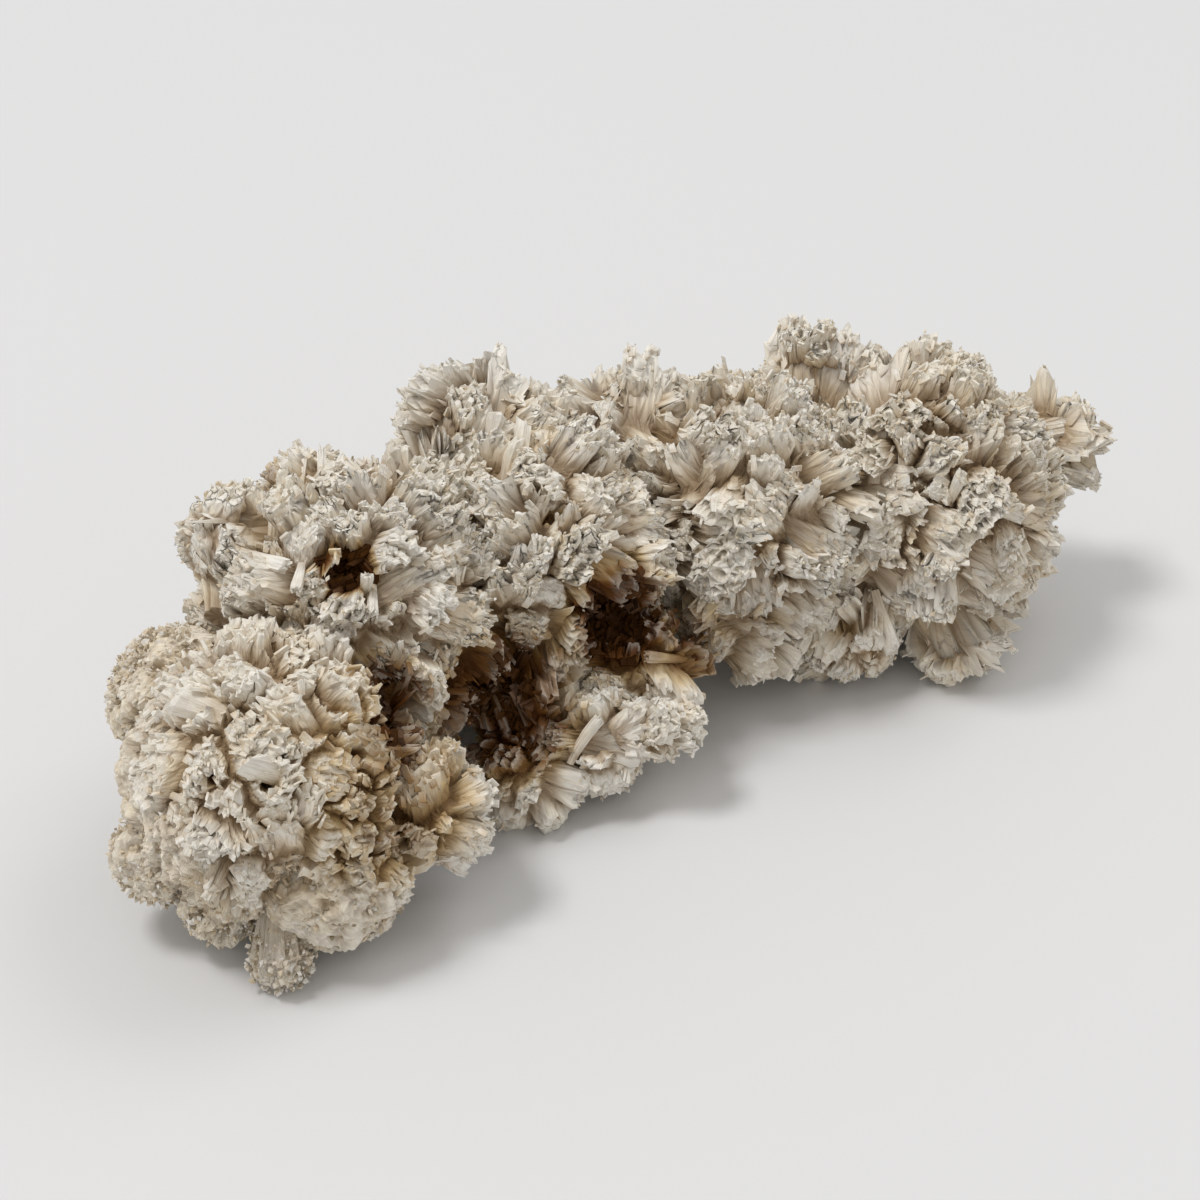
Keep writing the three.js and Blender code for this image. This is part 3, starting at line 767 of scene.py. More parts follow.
# The front of the specimen, sheaf by sheaf as it is seen in the photograph's 1200 x 1200 frame: foot and
# tip (pixels), how far the tip stands towards the eye from the heart behind it (mm), width and depth at
# the tip (mm), habit, whiteness and frost. "edges" shows its plates edge-on, "flats" their broad faces and
# "petals" their curved edges. A column or block is a single thick crystal.
SEEN = [
    # The far tip and the fans under it.
    (1040, 432, 1104, 434, 0.3, 5.0, 4.0, "edges", 0.4, 1.0),
    (1040, 440, 1090, 462, 0.6, 3.4, 3.0, "edges", 0.3, 1.0),
    (985, 412, 1060, 394, 1.0, 2.6, 2.6, "edges", 0.5, 0.4),
    (990, 478, 1055, 480, 2.0, 3.6, 3.0, "flats", 0.5, 0.3),
    (1000, 505, 1076, 528, 0.5, 4.0, 3.4, "edges", 0.25, 0.7),
    (1005, 535, 1068, 562, 0.5, 3.4, 3.0, "edges", 0.2, 0.6),
    (975, 500, 1030, 516, 3.0, 2.2, 2.0, "columns", 0.6, 0.3),
    (950, 500, 962, 472, 3.5, 1.6, 1.4, "columns", 0.8, 0.2),
    (915, 520, 1020, 580, 3.0, 5.6, 3.6, "edges", 0.45, 0.4),
    (860, 520, 895, 585, 3.0, 3.6, 3.0, "edges", 0.4, 0.3),
    # The far mass.
    (875, 480, 884, 396, 2.5, 2.6, 2.4, "columns", 0.55, 0.1),
    (905, 500, 908, 392, 2.5, 2.6, 2.4, "columns", 0.35, 0.1),
    (930, 455, 950, 438, 4.0, 4.2, 3.4, "edges", 0.4, 0.8),
    (885, 385, 952, 346, 1.0, 4.0, 3.2, "edges", 0.6, 0.4),
    (905, 405, 962, 380, 1.5, 3.4, 3.0, "edges", 0.5, 0.4),
    (840, 480, 915, 512, 4.0, 6.0, 3.6, "edges", 0.5, 0.2),
    (790, 525, 858, 566, 3.5, 4.6, 3.2, "edges", 0.5, 0.4),
    (945, 598, 1000, 610, 2.0, 4.0, 3.4, "edges", 0.5, 0.4),
    (850, 560, 930, 612, 3.5, 4.4, 3.2, "edges", 0.6, 0.7),
    (788, 615, 752, 678, 2.0, 2.6, 2.4, "columns", 0.5, 0.2),
    (812, 622, 790, 664, 2.0, 2.0, 1.8, "columns", 0.5, 0.2),
    (880, 612, 892, 662, 2.5, 2.4, 1.8, "columns", 0.5, 0.2),
    (850, 620, 858, 660, 2.0, 3.2, 2.4, "edges", 0.35, 0.3),
    (940, 635, 968, 678, 1.5, 3.8, 3.2, "edges", 0.1, 0.8),
    (950, 625, 1002, 650, 1.5, 3.4, 3.0, "edges", 0.15, 0.8),
    (760, 590, 822, 596, 3.0, 2.4, 2.2, "edges", 0.4, 0.1),
    # The right crest and the ridge.
    (840, 455, 838, 412, 4.0, 5.4, 4.4, "edges", 0.4, 1.0),
    (775, 400, 762, 350, 1.0, 3.8, 3.2, "edges", 0.6, 0.5),
    (835, 385, 848, 334, 1.0, 4.2, 3.2, "edges", 0.8, 0.2),
    (798, 385, 796, 328, 1.0, 3.6, 3.0, "edges", 0.6, 0.6),
    (880, 395, 886, 342, 1.0, 3.6, 3.0, "edges", 0.6, 0.4),
    (745, 420, 722, 372, 2.0, 3.6, 3.0, "edges", 0.9, 0.4),
    (720, 470, 742, 430, 3.5, 4.2, 3.2, "flats", 0.8, 0.7),
    (640, 410, 644, 352, 0.5, 3.6, 3.2, "edges", 0.8, 0.4),
    (690, 470, 668, 418, 3.5, 3.4, 3.0, "edges", 0.6, 0.7),
    (760, 480, 760, 448, 4.0, 3.8, 3.2, "flats", 0.9, 0.5),
    (700, 520, 764, 540, 4.0, 4.0, 3.2, "edges", 0.7, 0.8),
    (640, 470, 612, 424, 2.5, 3.8, 3.2, "edges", 0.7, 0.8),
    (620, 520, 668, 498, 4.0, 3.6, 3.0, "flats", 0.6, 0.8),
    (690, 580, 728, 602, 4.0, 4.2, 3.0, "edges", 0.6, 0.7),
    # The middle.
    (470, 446, 488, 396, 2.0, 2.6, 2.4, "columns", 0.5, 0.1),
    (488, 450, 500, 404, 2.0, 2.0, 2.0, "columns", 0.6, 0.1),
    (520, 462, 522, 414, 3.0, 2.0, 2.0, "columns", 0.6, 0.2),
    (536, 462, 548, 416, 3.0, 2.2, 2.0, "columns", 0.5, 0.3),
    (505, 470, 508, 430, 3.5, 1.8, 1.6, "columns", 0.7, 0.1),
    (490, 410, 503, 354, 0.5, 3.2, 2.6, "edges", 0.9, 0.4),
    (468, 418, 470, 374, 0.5, 3.2, 2.6, "edges", 0.9, 0.4),
    (440, 430, 436, 396, 0.5, 3.0, 2.6, "edges", 0.8, 0.5),
    (545, 410, 552, 370, 0.5, 3.6, 3.0, "edges", 0.9, 0.4),
    (580, 420, 596, 372, 0.5, 3.6, 3.0, "edges", 0.9, 0.3),
    (575, 445, 574, 408, 3.0, 4.4, 3.0, "edges", 0.6, 0.6),
    (425, 440, 422, 404, 1.0, 2.8, 2.4, "edges", 0.7, 0.7),
    (426, 480, 430, 440, 2.5, 3.4, 2.8, "edges", 0.3, 1.0),
    (375, 470, 398, 438, 1.5, 3.6, 1.6, "flats", 0.8, 0.2),
    (450, 512, 446, 484, 4.0, 3.8, 2.2, "flats", 0.4, 0.1),
    (378, 590, 458, 552, 3.5, 4.6, 3.2, "edges", 0.8, 0.6),
    (430, 560, 470, 524, 3.5, 4.2, 3.0, "edges", 0.5, 1.0),
    (500, 600, 520, 570, 4.0, 5.0, 3.8, "edges", 0.7, 1.0),
    (530, 538, 584, 600, 3.5, 3.4, 2.6, "flats", 0.7, 0.5),
    (600, 560, 640, 582, 4.0, 3.6, 2.8, "flats", 0.6, 0.7),
    (545, 550, 560, 520, 3.0, 4.0, 3.0, "edges", 0.8, 0.6),
    # The shoulder.
    (302, 470, 304, 440, 0.5, 1.2, 0.8, "columns", 1.0, 0.3),
    (322, 472, 326, 446, 0.5, 1.3, 0.8, "columns", 1.0, 0.3),
    (336, 474, 346, 452, 0.5, 1.2, 0.8, "columns", 1.0, 0.3),
    (262, 512, 192, 504, 1.0, 3.0, 2.0, "flats", 0.95, 0.2),
    (330, 520, 312, 500, 3.0, 3.6, 3.0, "edges", 0.7, 1.0),
    (360, 540, 352, 520, 4.0, 4.2, 2.6, "edges", 0.7, 1.0),
    (400, 545, 396, 518, 4.0, 3.8, 2.6, "edges", 0.6, 1.0),
    (240, 552, 284, 574, 3.0, 1.8, 1.4, "columns", 0.9, 0.1),
    (322, 552, 312, 574, 4.0, 3.2, 2.6, "edges", 0.7, 0.9),
    (302, 566, 296, 600, 4.0, 1.3, 1.2, "columns", 0.9, 0.3),
    (345, 600, 340, 612, 4.5, 3.2, 2.4, "edges", 0.9, 0.5),
    (373, 592, 374, 624, 4.0, 1.3, 1.2, "columns", 0.9, 0.5),
    (366, 590, 374, 574, 4.0, 1.6, 1.2, "columns", 0.8, 0.1),
    (425, 600, 452, 614, 3.5, 3.4, 2.4, "flats", 0.8, 0.3),
    # The near end.
    (204, 708, 180, 698, 1.7, 3.1, 2.6, "block", 1.0, 0.0),
    (276, 772, 246, 762, 1.6, 2.8, 1.5, "block", 1.0, 0.0),
    (330, 668, 346, 648, 3.5, 3.6, 3.0, "petals", 0.5, 0.1),
    (400, 690, 430, 648, 3.0, 4.6, 3.6, "petals", 0.7, 0.3),
    (420, 790, 400, 722, 3.0, 5.2, 4.0, "petals", 0.5, 0.1),
    (300, 720, 262, 690, 3.0, 4.4, 3.4, "petals", 0.4, 0.1),
    (250, 700, 296, 664, 3.0, 3.6, 3.0, "edges", 0.6, 0.4),
    (290, 850, 268, 800, 2.5, 4.2, 3.6, "petals", 0.6, 0.1),
    (300, 830, 326, 790, 3.0, 4.0, 3.4, "petals", 0.6, 0.2),
    (420, 850, 486, 812, 1.5, 4.6, 3.0, "flats", 1.0, 0.1),
    (410, 880, 470, 874, 1.0, 3.8, 2.6, "flats", 1.0, 0.1),
    (440, 700, 486, 710, 2.5, 2.6, 2.2, "edges", 0.3, 0.1),
    # The ledge.
    (600, 740, 672, 752, 1.5, 3.8, 2.6, "flats", 1.0, 0.2),
    (620, 730, 650, 700, 1.5, 4.0, 2.8, "flats", 1.0, 0.2),
    (560, 780, 600, 800, 1.5, 3.6, 2.8, "edges", 0.8, 0.4),
    (580, 742, 596, 708, 1.5, 1.6, 1.4, "columns", 0.9, 0.2),
    (664, 665, 690, 716, 1.5, 3.4, 2.4, "flats", 0.3, 0.1),
    (690, 660, 642, 656, 3.0, 1.5, 0.9, "columns", 0.7, 0.0),
    (600, 680, 604, 652, 3.0, 2.6, 2.0, "petals", 0.8, 0.1),
]
SEEN_ROOT = 2.2 * MM  # how deep a seen sheaf's foot lies in the heart
SEEN_LONGEST = 6.5 * MM  # the rest of a longer one is hidden by its neighbours


def seen_depth(lines):
    """Along each sight line, where it first enters a growth. A line that misses them all stops where it
    passes nearest to one."""
    start = np.broadcast_to(eye, lines.shape)
    entering = ball_crossings(start, lines, centres, radii)[0]
    entering = np.where(entering > 0, entering, np.inf).min(1)
    along = (centres - eye) @ lines.T
    gap = np.linalg.norm(centres[:, None] - eye - along[..., None] * lines, axis=2) - radii[:, None]
    passing = along[gap.argmin(0), np.arange(len(lines))]
    return np.where(np.isfinite(entering), entering, passing)


def seen_sprays():
    """The seen sheaves as sprays: foot and tip lie on the sight lines through their pixels."""
    table = np.array([row[:7] for row in SEEN], float)
    foot_lines, tip_lines = sight_lines(table[:, :2]), sight_lines(table[:, 2:4])
    foot = eye + foot_lines * seen_depth(foot_lines)[:, None]
    tip = eye + tip_lines * (seen_depth(tip_lines) - table[:, 4] * MM)[:, None]
    axis = unit(tip - foot)
    shown = np.minimum(np.linalg.norm(tip - foot, axis=1), SEEN_LONGEST)
    foot = tip - axis * shown[:, None]
    root = foot - axis * SEEN_ROOT
    habit = np.array([row[7] for row in SEEN])
    # The line of sight, and the direction square to it and to the axis.
    sideways = unit(np.cross(foot_lines, axis))
    away = np.cross(axis, sideways)
    edge_on = habit == "edges"
    count = len(table)
    slim = np.where(habit == "columns", 0.75, 1.0)
    width, depth = table[:, 5] * slim * MM, table[:, 6] * slim * MM
    turned = turned_about(np.where(edge_on[:, None], away, sideways), axis, chance.normal(0, 0.3, count))
    stain_and_shade = 0.8 * staining((foot + tip) / 2)
    return {
        "root": root,
        "foot": foot,
        "standing": np.where(table[:, 4] <= 1.0, 1.0, 0.82) * shown,
        "axis": axis,
        "across": turned,
        "length": np.linalg.norm(tip - root, axis=1) * np.where(habit == "columns", 0.84, 1.0),
        "width": np.where(edge_on, depth, width),
        "depth": np.where(edge_on, width, depth),
        "taper": chance.uniform(0.45, 0.65, count),
        "white": np.array([row[8] for row in SEEN]),
        "frost": np.array([row[9] for row in SEEN]),
        "stain_and_shade": stain_and_shade,
        "habit": habit,
    }


seen = seen_sprays()


def clear_of_seen(sprays):
    """The sprays whose tips are not inside a seen sheaf: farther from its line than 0.5 of its width."""
    tips = sprays["root"] + sprays["axis"] * sprays["length"][:, None]
    offset = tips[:, None] - seen["root"]
    along = np.clip((offset * seen["axis"]).sum(2), 0, seen["length"])
    gap = np.linalg.norm(offset - along[..., None] * seen["axis"], axis=2)
    return those(sprays, (gap > 0.5 * np.maximum(seen["width"], seen["depth"])).all(1))


def as_sheaves(sprays, size, plate):
    """The sprays as sheaves of the crust: each owns the crust round its foot out to about its size, and
    stands out as plates of that thickness (mm), whose edges stay at one height for a segment (mm). The
    plates of a petalled one curl round its middle."""
    count = len(sprays["root"])
    petals = sprays["habit"] == "petals"
    worn = petals & (sprays["root"][:, 0] < -30 * MM)
    return {
        "root": sprays["foot"],
        "axis": sprays["axis"],
        "across": sprays["across"],
        "length": sprays["standing"] * np.where(worn, 0.55, 1.0),
        "size": size * np.where(worn, 1.25, 1.0),
        "plate": plate * np.where(petals, 0.9, 1.0) * chance.uniform(0.8, 1.9, count),
        "curl": np.where(petals, chance.uniform(0.1, 0.5, count), chance.uniform(0, 0.15, count)),
        "groove": np.where(petals, 0.4, 0.28),
        "segment": np.where(petals, 1.7, 0.95),
        "seed": chance.uniform(0, 50, count),
        "white": sprays["white"],
        "frost": sprays["frost"],
        "stain_and_shade": sprays["stain_and_shade"],
    }


def nearest_sheaf(points, sheaves):
    """For each point the sheaf whose power, distance^2 - size^2, is least, and how far off the plane lies
    that parts it from the next one: half the difference of their powers over the distance between."""
    own = np.zeros(len(points), int)
    border = np.zeros(len(points))
    roots = sheaves["root"]
    own_part = (roots ** 2).sum(1) - sheaves["size"] ** 2
    for start in range(0, len(points), 20000):
        part = slice(start, start + 20000)
        power = (points[part] ** 2).sum(1)[:, None] - 2 * points[part] @ roots.T + own_part
        row = np.arange(len(power))
        first = power.argmin(1)
        least = power[row, first]
        power[row, first] = np.inf
        second = power.argmin(1)
        apart = np.linalg.norm(roots[first] - roots[second], axis=1)
        own[part] = first
        border[part] = (power[row, second] - least) / (2 * np.maximum(apart, 0.4 * MM))
    return own, border


def sheaf_relief(points, sheaves):
    """How the sheaves stand out of the crust. At p across the plates' faces and q through them from its
    sheaf's foot, a point moves along the sheaf's axis by length * rise * dome * (1 - ragged * brick -
    groove), and outwards with p and q, so that the sheaf fans open. The rise goes from 0 at the sheaf's
    border to 1 over EDGE, bricks are the broken plates' own heights, and grooves part plate from plate."""
    ripple = np.stack([np.sin(points @ np.array(wave) / MM + phase) for wave, phase in RIPPLES], axis=1)
    own, border = nearest_sheaf(points + RIPPLE_DEPTH * ripple, sheaves)
    offset = points - sheaves["root"][own]
    axis, across = sheaves["axis"][own], sheaves["across"][own]
    face = np.cross(across, axis)
    p, q = (offset * across).sum(1) / MM, (offset * face).sum(1) / MM
    seed, curl = sheaves["seed"][own], sheaves["curl"][own]
    swept = (1 - curl) * q + curl * np.hypot(p, q)
    swept += 0.2 * np.sin(1.9 * p + seed) + 0.1 * np.sin(4.7 * p + 3.1 * q + 2 * seed)
    place = swept / sheaves["plate"][own]
    plate = np.floor(place).astype(int)
    own_height = plate_heights[own, plate % plate_heights.shape[1]]
    segment = np.floor(p / sheaves["segment"][own] + 5 * own_height).astype(int)
    brick = plate_heights[own, (7 * plate + 3 * segment) % plate_heights.shape[1]]
    groove = smooth_step(0.2, 0.5, np.abs(place - plate - 0.5))
    size = sheaves["size"][own] / MM
    rise = CREASE + (1 - CREASE) * smooth_step(0, EDGE, border)
    far = np.hypot(p, q) / (size + 0.8)
    dome = np.clip(1 - 0.22 * far ** 2, 0.3, 1) * smooth_step(5.5, 3.5, np.linalg.norm(offset, axis=1) / MM)
    share = 1 - RAGGED * brick - sheaves["groove"][own] * groove
    height = sheaves["length"][own] * rise * dome * share
    fan = FAN / np.maximum(size, 1.0)
    fanned = axis + face * (fan * q + 0.3 * (own_height - 0.5))[:, None] + across * (fan * p)[:, None]
    return {
        "own": own,
        "move": fanned * height[:, None],
        "rise": rise,
        "share": rise * np.clip(share, 0, 1),
        "groove": groove,
        "brick": brick,
        "uv": np.stack([swept + seed, p + seed], axis=1),
    }


# Soft ripples that make the sheaves' borders wander: waves (radians a mm) and phases.
RIPPLES = [((1.9, 1.1, -0.8), 0.3), ((-1.2, 1.8, 1.3), 1.9), ((1.4, -1.1, 1.9), 4.1)]
RIPPLE_DEPTH = 0.35 * MM
# Shorter waves that wear the plates' faces, and how far they move them.
WEAR = [((4.9, 3.1, -3.8), 0.7), ((-3.2, 5.2, 3.3), 2.9), ((3.4, -4.1, 4.9), 5.1)]
WEAR_DEPTH = 0.1 * MM
EDGE = 0.8 * MM  # how wide a sheaf's rounded border is
CREASE = 0.12  # how high a sheaf already stands at its border, as a share of its length
RAGGED = 0.34  # how unlike the plates' heights are, as a share of the sheaf's length
FAN = 0.34  # how far the plates at a sheaf's rim lean outwards
LARGE_SIZE = 2.1 * MM
SMALL_SIZE = 0.7 * MM
PLATE = 0.5  # a plate's thickness (mm), before its sheaf's own share

large, small = clear_of_seen(large), clear_of_seen(small)
separate = (seen["habit"] == "columns") | (seen["habit"] == "block")  # meshes of their own on the crust
seen_size = np.clip(0.5 * np.maximum(seen["width"], seen["depth"]), 0.7 * MM, 2.6 * MM)
sheaves = joined(
    as_sheaves(large, LARGE_SIZE * chance.uniform(0.7, 1.25, len(large["root"])), PLATE),
    as_sheaves(small, SMALL_SIZE, PLATE * 0.8),
    as_sheaves(those(seen, ~separate), seen_size[~separate], PLATE),
)
plate_heights = chance.uniform(0, 1, (len(sheaves["root"]), 61))


# Small holes between the sheaves, as they are seen, darkened with painted shade: pixel, radius (mm) and how
# brown each is painted, partly as stain and partly as painted shade.
HOLES = [
    (343, 568, 1.7, 0.35), (553, 520, 1.3, 0.5), (402, 627, 1.4, 0.1), (155, 749, 0.8, 0.5),
    (208, 776, 0.8, 0.9),
    (245, 902, 0.8, 0.5), (264, 783, 1.0, 0.55), (364, 755, 0.9, 0.6), (846, 619, 1.7, 0.3),
    (584, 469, 0.8, 0.3), (848, 463, 1.2, 0.3), (800, 548, 1.1, 0.3), (858, 565, 1.1, 0.3),
    (371, 850, 0.7, 0.5), (405, 846, 0.7, 0.5), (476, 690, 1.2, 0.7), (515, 660, 1.3, 0.9),
    (560, 700, 1.2, 0.5), (925, 600, 1.1, 0.3), (770, 610, 1.2, 0.3), (630, 545, 0.9, 0.3),
]
HOLE_DEPTH = 1.6 * MM
LUMP_SHARE = 0.55  # how high the lumps of a sugary crust stand, as a share of its growth's reach
FINE_RIDGE = 0.5 * MM  # how high the fine ridges on those lumps are
GRAIN_PIT = 1.1 * MM  # how deep the small pits between the lumps are
SUGAR_SWELL = 1.6 * MM  # how far the sugary crust swells and sinks as a whole
hole_lines = sight_lines([hole[:2] for hole in HOLES])
hole_places = eye + hole_lines * seen_depth(hole_lines)[:, None]


def hollowness(points):
    """How far each point is in a small hole, 1 in its middle and 0 at its rim, and how brown it is painted
    there, partly as stain and partly as painted shade.
    """
    deep, brown = np.zeros(len(points)), np.zeros(len(points))
    for (*_, radius, colour), centre in zip(HOLES, hole_places):
        inside = 1 - smooth_step(0.45 * radius * MM, radius * MM, np.linalg.norm(points - centre, axis=1))
        deep = np.maximum(deep, inside)
        brown = np.maximum(brown, inside * colour)
    return deep, brown


def crust_surface(spine, members, ring_radius):
    """Corners where rays out of the spine leave the growths, moved by the sheaves' relief, or by fine
    ridges where the crust is sugary or lines a pit, with their values for the material."""
    origin, direction, rings, slots, inner = crust_rays(spine, ring_radius)
    distance, growth, in_pit = heart_along(origin, direction, members)
    base = origin + direction * distance[:, None]
    out = np.where(in_pit[:, None], direction, unit(base - centres[growth]))
    sugar = sugariness(base)
    deep, brown = hollowness(base)
    standing = (1 - sugar) * ~in_pit * (1 - 0.9 * deep)
    relief = sheaf_relief(base, sheaves)
    fine = ridges(base * 2.6)
    lumps = ridges(base)
    granular = LUMP_SHARE * reaches[growth] * lumps + FINE_RIDGE * fine
    granular -= GRAIN_PIT * smooth_step(0.62, 0.75, ridges(base * 1.3 + 0.01))
    granular += SUGAR_SWELL * sugar * (ridges(base * 0.55) - 0.5)
    sunk = CRUST_SINK * (1 - relief["rise"]) * np.minimum(1, reaches[growth] / (3 * MM))
    move = relief["move"] * standing[:, None]
    level = np.where(in_pit, 0.5, 1) * (1 - deep)
    move += out * (granular * (1 - standing) * level - sunk * standing - HOLE_DEPTH * deep)[:, None]
    grain = CRUST_GRAIN * (1 + 1.2 * (1 - standing))
    move += out * (chance.uniform(-1, 1, len(base)) * grain)[:, None]
    corners = base + move * inner[:, None]
    worn = np.stack([np.sin(corners @ np.array(wave) / MM + phase) for wave, phase in WEAR], axis=1)
    corners += WEAR_DEPTH * worn * (standing * inner)[:, None]
    corners[:, 2] = np.maximum(corners[:, 2], 0)
    own = relief["own"]
    # Painted shade: along is low at the sheaves' low borders, so the material darkens them as it does the
    # roots.
    along = standing * (0.1 + 0.9 * relief["share"]) + (1 - standing)
    end = standing * smooth_step(0.75, 1.0, relief["rise"]) * smooth_step(0.35, 0.6, relief["share"])
    # Painted shade: the cavity mask darkens the grooves between plates, the sheaves' low borders, the
    # valleys of the sugary crust's fine ridges and the holes, and lightens the plates' faces as a painted
    # highlight.
    cavity = standing * np.maximum(relief["groove"] * 0.9, 1 - relief["rise"]) + (1 - standing) * (1 - fine)
    cavity = np.maximum(cavity, deep)
    values = {
        "along": along,
        # Each plate's tint is its own random drop, so the plates that stand lower are also painted greyer, a
        # painted shade.
        "tint": relief["brick"],
        "white": (standing * sheaves["white"][own]
                  + (1 - standing) * 0.4 * share_of_growths(base, whitenesses)),
        "frost": (standing * sheaves["frost"][own]
                  + (1 - standing) * share_of_growths(base, frostings) * sugar),
        # Painted shade: on top of the real stain, the stain is raised in the creases between growths, at the
        # sheaves' low borders and in the holes.
        "stain_and_shade": np.clip(np.maximum(staining(corners), brown) + 0.1 * crease(base)
                         + 0.12 * (1 - relief["rise"]) * standing, 0, 1),
        "cavity": cavity,
        "end": end + (0.35 + 0.4 * smooth_step(8 * MM, 3 * MM, base[:, 2])) * sugar,
    }
    others = np.setdiff1d(np.arange(len(GROWTHS)), members)
    open_air = corners[:, 2] > FLOOR_GAP
    for other in others:
        open_air &= np.linalg.norm(base - centres[other], axis=1) > radii[other]
    hosts = {
        "place": corners,
        "axis": sheaves["axis"][own],
        "frost": values["frost"],
        "white": values["white"],
        "stain_and_shade": values["stain_and_shade"],
        "share": standing * (0.1 + 0.9 * (end > 0.5)) * (relief["share"] > 0.25) * open_air,
        "end": end,
    }
    return {"corners": corners, "bases": base, "rings": rings, "slots": slots, "values": values,
            "uv": relief["uv"], "hosts": hosts}


def crust_piece(name, surface, first, last):
    """The rings from first to last as one closed piece: a wall of quads, and a fan of triangles to a
    single corner at each end."""
    slots, every = surface["slots"], surface["corners"]
    block = np.arange(first * slots, (last + 1) * slots)
    rows = last - first
    start = np.arange(rows)[:, None] * slots
    step = np.arange(slots)
    after = (step + 1) % slots
    wall = np.stack([start + step, start + after, start + slots + after, start + slots + step], -1)
    wall = wall.reshape(-1, 4)
    middles = np.stack([
        every[:slots].mean(0) if first == 1 else every[block[:slots]].mean(0),
        every[-slots:].mean(0) if last == surface["rings"] - 1 else every[block[-slots:]].mean(0),
    ])
    front, back = len(block), len(block) + 1
    fans = np.concatenate([
        np.stack([np.full(slots, front), after, step], 1),
        np.stack([rows * slots + step, rows * slots + after, np.full(slots, back)], 1),
    ])
    picked = np.concatenate([block, block[:1], block[-1:]])
    flat_uv = surface["uv"][picked]
    piece = mesh_object(name, np.concatenate([every[block], middles]), [wall, fans],
                        {key: value[picked] for key, value in surface["values"].items()},
                        flat_uv[np.concatenate([wall.ravel(), fans.ravel()])])
    belongs(piece, crust_material)


crust_material = albite_material("bladed_albite_crust")
surfaces = {}
hanging = [growth_names.index(name) for key in CRUSTS if key != "main" for name in CRUSTS[key][0]]
for key, (spine, radius) in CRUSTS.items():
    if key == "main":
        members = np.setdiff1d(np.arange(len(GROWTHS)), hanging)
    else:
        members = np.array([growth_names.index(name) for name in spine])
    surfaces[key] = crust_surface(spine, members, radius * MM)
    rings = surfaces[key]["rings"]
    names = ("near_crust", "middle_crust", "far_crust") if key == "main" else (key + "_crust",)
    cuts = np.linspace(1, rings - 1, len(names) + 1).astype(int)
    for name, first, last in zip(names, cuts[:-1], cuts[1:]):
        crust_piece(name, surfaces[key], first, last)
hosts = joined(*[surface["hosts"] for surface in surfaces.values()])
crust_bases = np.concatenate([surface["bases"] for surface in surfaces.values()])
tips = those(hosts, hosts["share"] > 0)


def off_the_crust(sprays, reach):
    """The sprays whose feet lie farther than reach from every corner of the crust, as under a ledge."""
    nearest = np.full(len(sprays["foot"]), np.inf)
    for start in range(0, len(crust_bases), 20000):
        part = crust_bases[start:start + 20000]
        square = (part ** 2).sum(1)[:, None] - 2 * part @ sprays["foot"].T + (sprays["foot"] ** 2).sum(1)
        nearest = np.minimum(nearest, square.min(0))
    return those(sprays, nearest > reach ** 2)


for name, sprays in (("overhang_sheaves", large), ("overhang_tufts", small)):
    bare = off_the_crust(sprays, 0.5 * MM)
    bare = those(bare, bare["habit"] != "sugar")
    sheaf_mesh(name, bare, 16, [0.0, 0.5, 0.85, 1.0], 2, 0.2, 0.2, 2.6)


def lining(pitch):
    """Small sprays on the walls of the pits. Each starts on its pit's ball, where that lies in a growth,
    and points to the pit's middle, leaning at random."""
    rows = []
    for centre, radius in zip(pit_centres, pit_radii):
        count = int(round(4 * np.pi * radius ** 2 / pitch ** 2))
        k = np.arange(count)
        height = 1 - (2 * k + 1) / count
        ring = np.sqrt(1 - height ** 2)
        out = np.stack([ring * np.cos(k * GOLDEN_ANGLE), ring * np.sin(k * GOLDEN_ANGLE), height], axis=1)
        root = centre + out * radius
        inside = (np.linalg.norm(root[:, None] - centres, axis=2) < radii - 0.2 * MM).any(1)
        rows.append((root[inside], out[inside]))
    root = np.concatenate([row[0] for row in rows])
    out = np.concatenate([row[1] for row in rows])
    count = len(root)
    axis = unit(chance.normal(0, 0.5, (count, 3)) - out)
    return {
        "root": root - axis * 0.8 * MM,
        "axis": axis,
        "across": unit(np.cross(axis, unit(chance.normal(0, 1, (count, 3))))),
        "length": chance.uniform(1.4, 2.6, count) * MM,
        "width": chance.uniform(0.8, 1.6, count) * MM,
        "depth": chance.uniform(0.6, 1.2, count) * MM,
        "taper": chance.uniform(0.4, 0.8, count),
        "white": np.full(count, 0.3),
        "frost": np.zeros(count),
        "stain_and_shade": chance.uniform(0.45, 1.0, count),
    }


vug_crystals = bundle(lining(1.0 * MM), 2, 3, 0.3)
belongs(plates_mesh("vug_crystals", vug_crystals, [0.0, 1.0], 2, 0.1), blade_material)

seen["relief"] = np.where(seen["habit"] == "block", 0.1, 0.5)
columns, blocks = those(seen, seen["habit"] == "columns"), those(seen, seen["habit"] == "block")
sheaf_mesh("seen_columns", columns, 14, [0.0, 0.3, 0.65, 0.9, 1.0], 2, 0.3, 0.1, 3.5)
sheaf_mesh("seen_blocks", blocks, 14, [0.0, 0.4, 0.7, 0.9, 1.0], 2, 0.06, 0.04, 2.2)


# The frost.
# Tiny second-growth crystals crowd the free ends of the plates, some glassy white and some grey with
# dust. Where the crust is sugary, coarser grains of the same kind cover it.

FROST_GRAINS = 9000
SLIVERS = 9000
SUGAR_PITCH = 0.38 * MM
# A flattened double pyramid: six corners and eight faces.
GRAIN_CORNERS = np.array([[1, 0, 0], [-1, 0, 0], [0, 1, 0], [0, -1, 0], [0, 0, 1], [0, 0, -1.0]])
GRAIN_FACES = np.array([
    [0, 2, 4], [2, 1, 4], [1, 3, 4], [3, 0, 4], [2, 0, 5], [1, 2, 5], [3, 1, 5], [0, 3, 5],
])


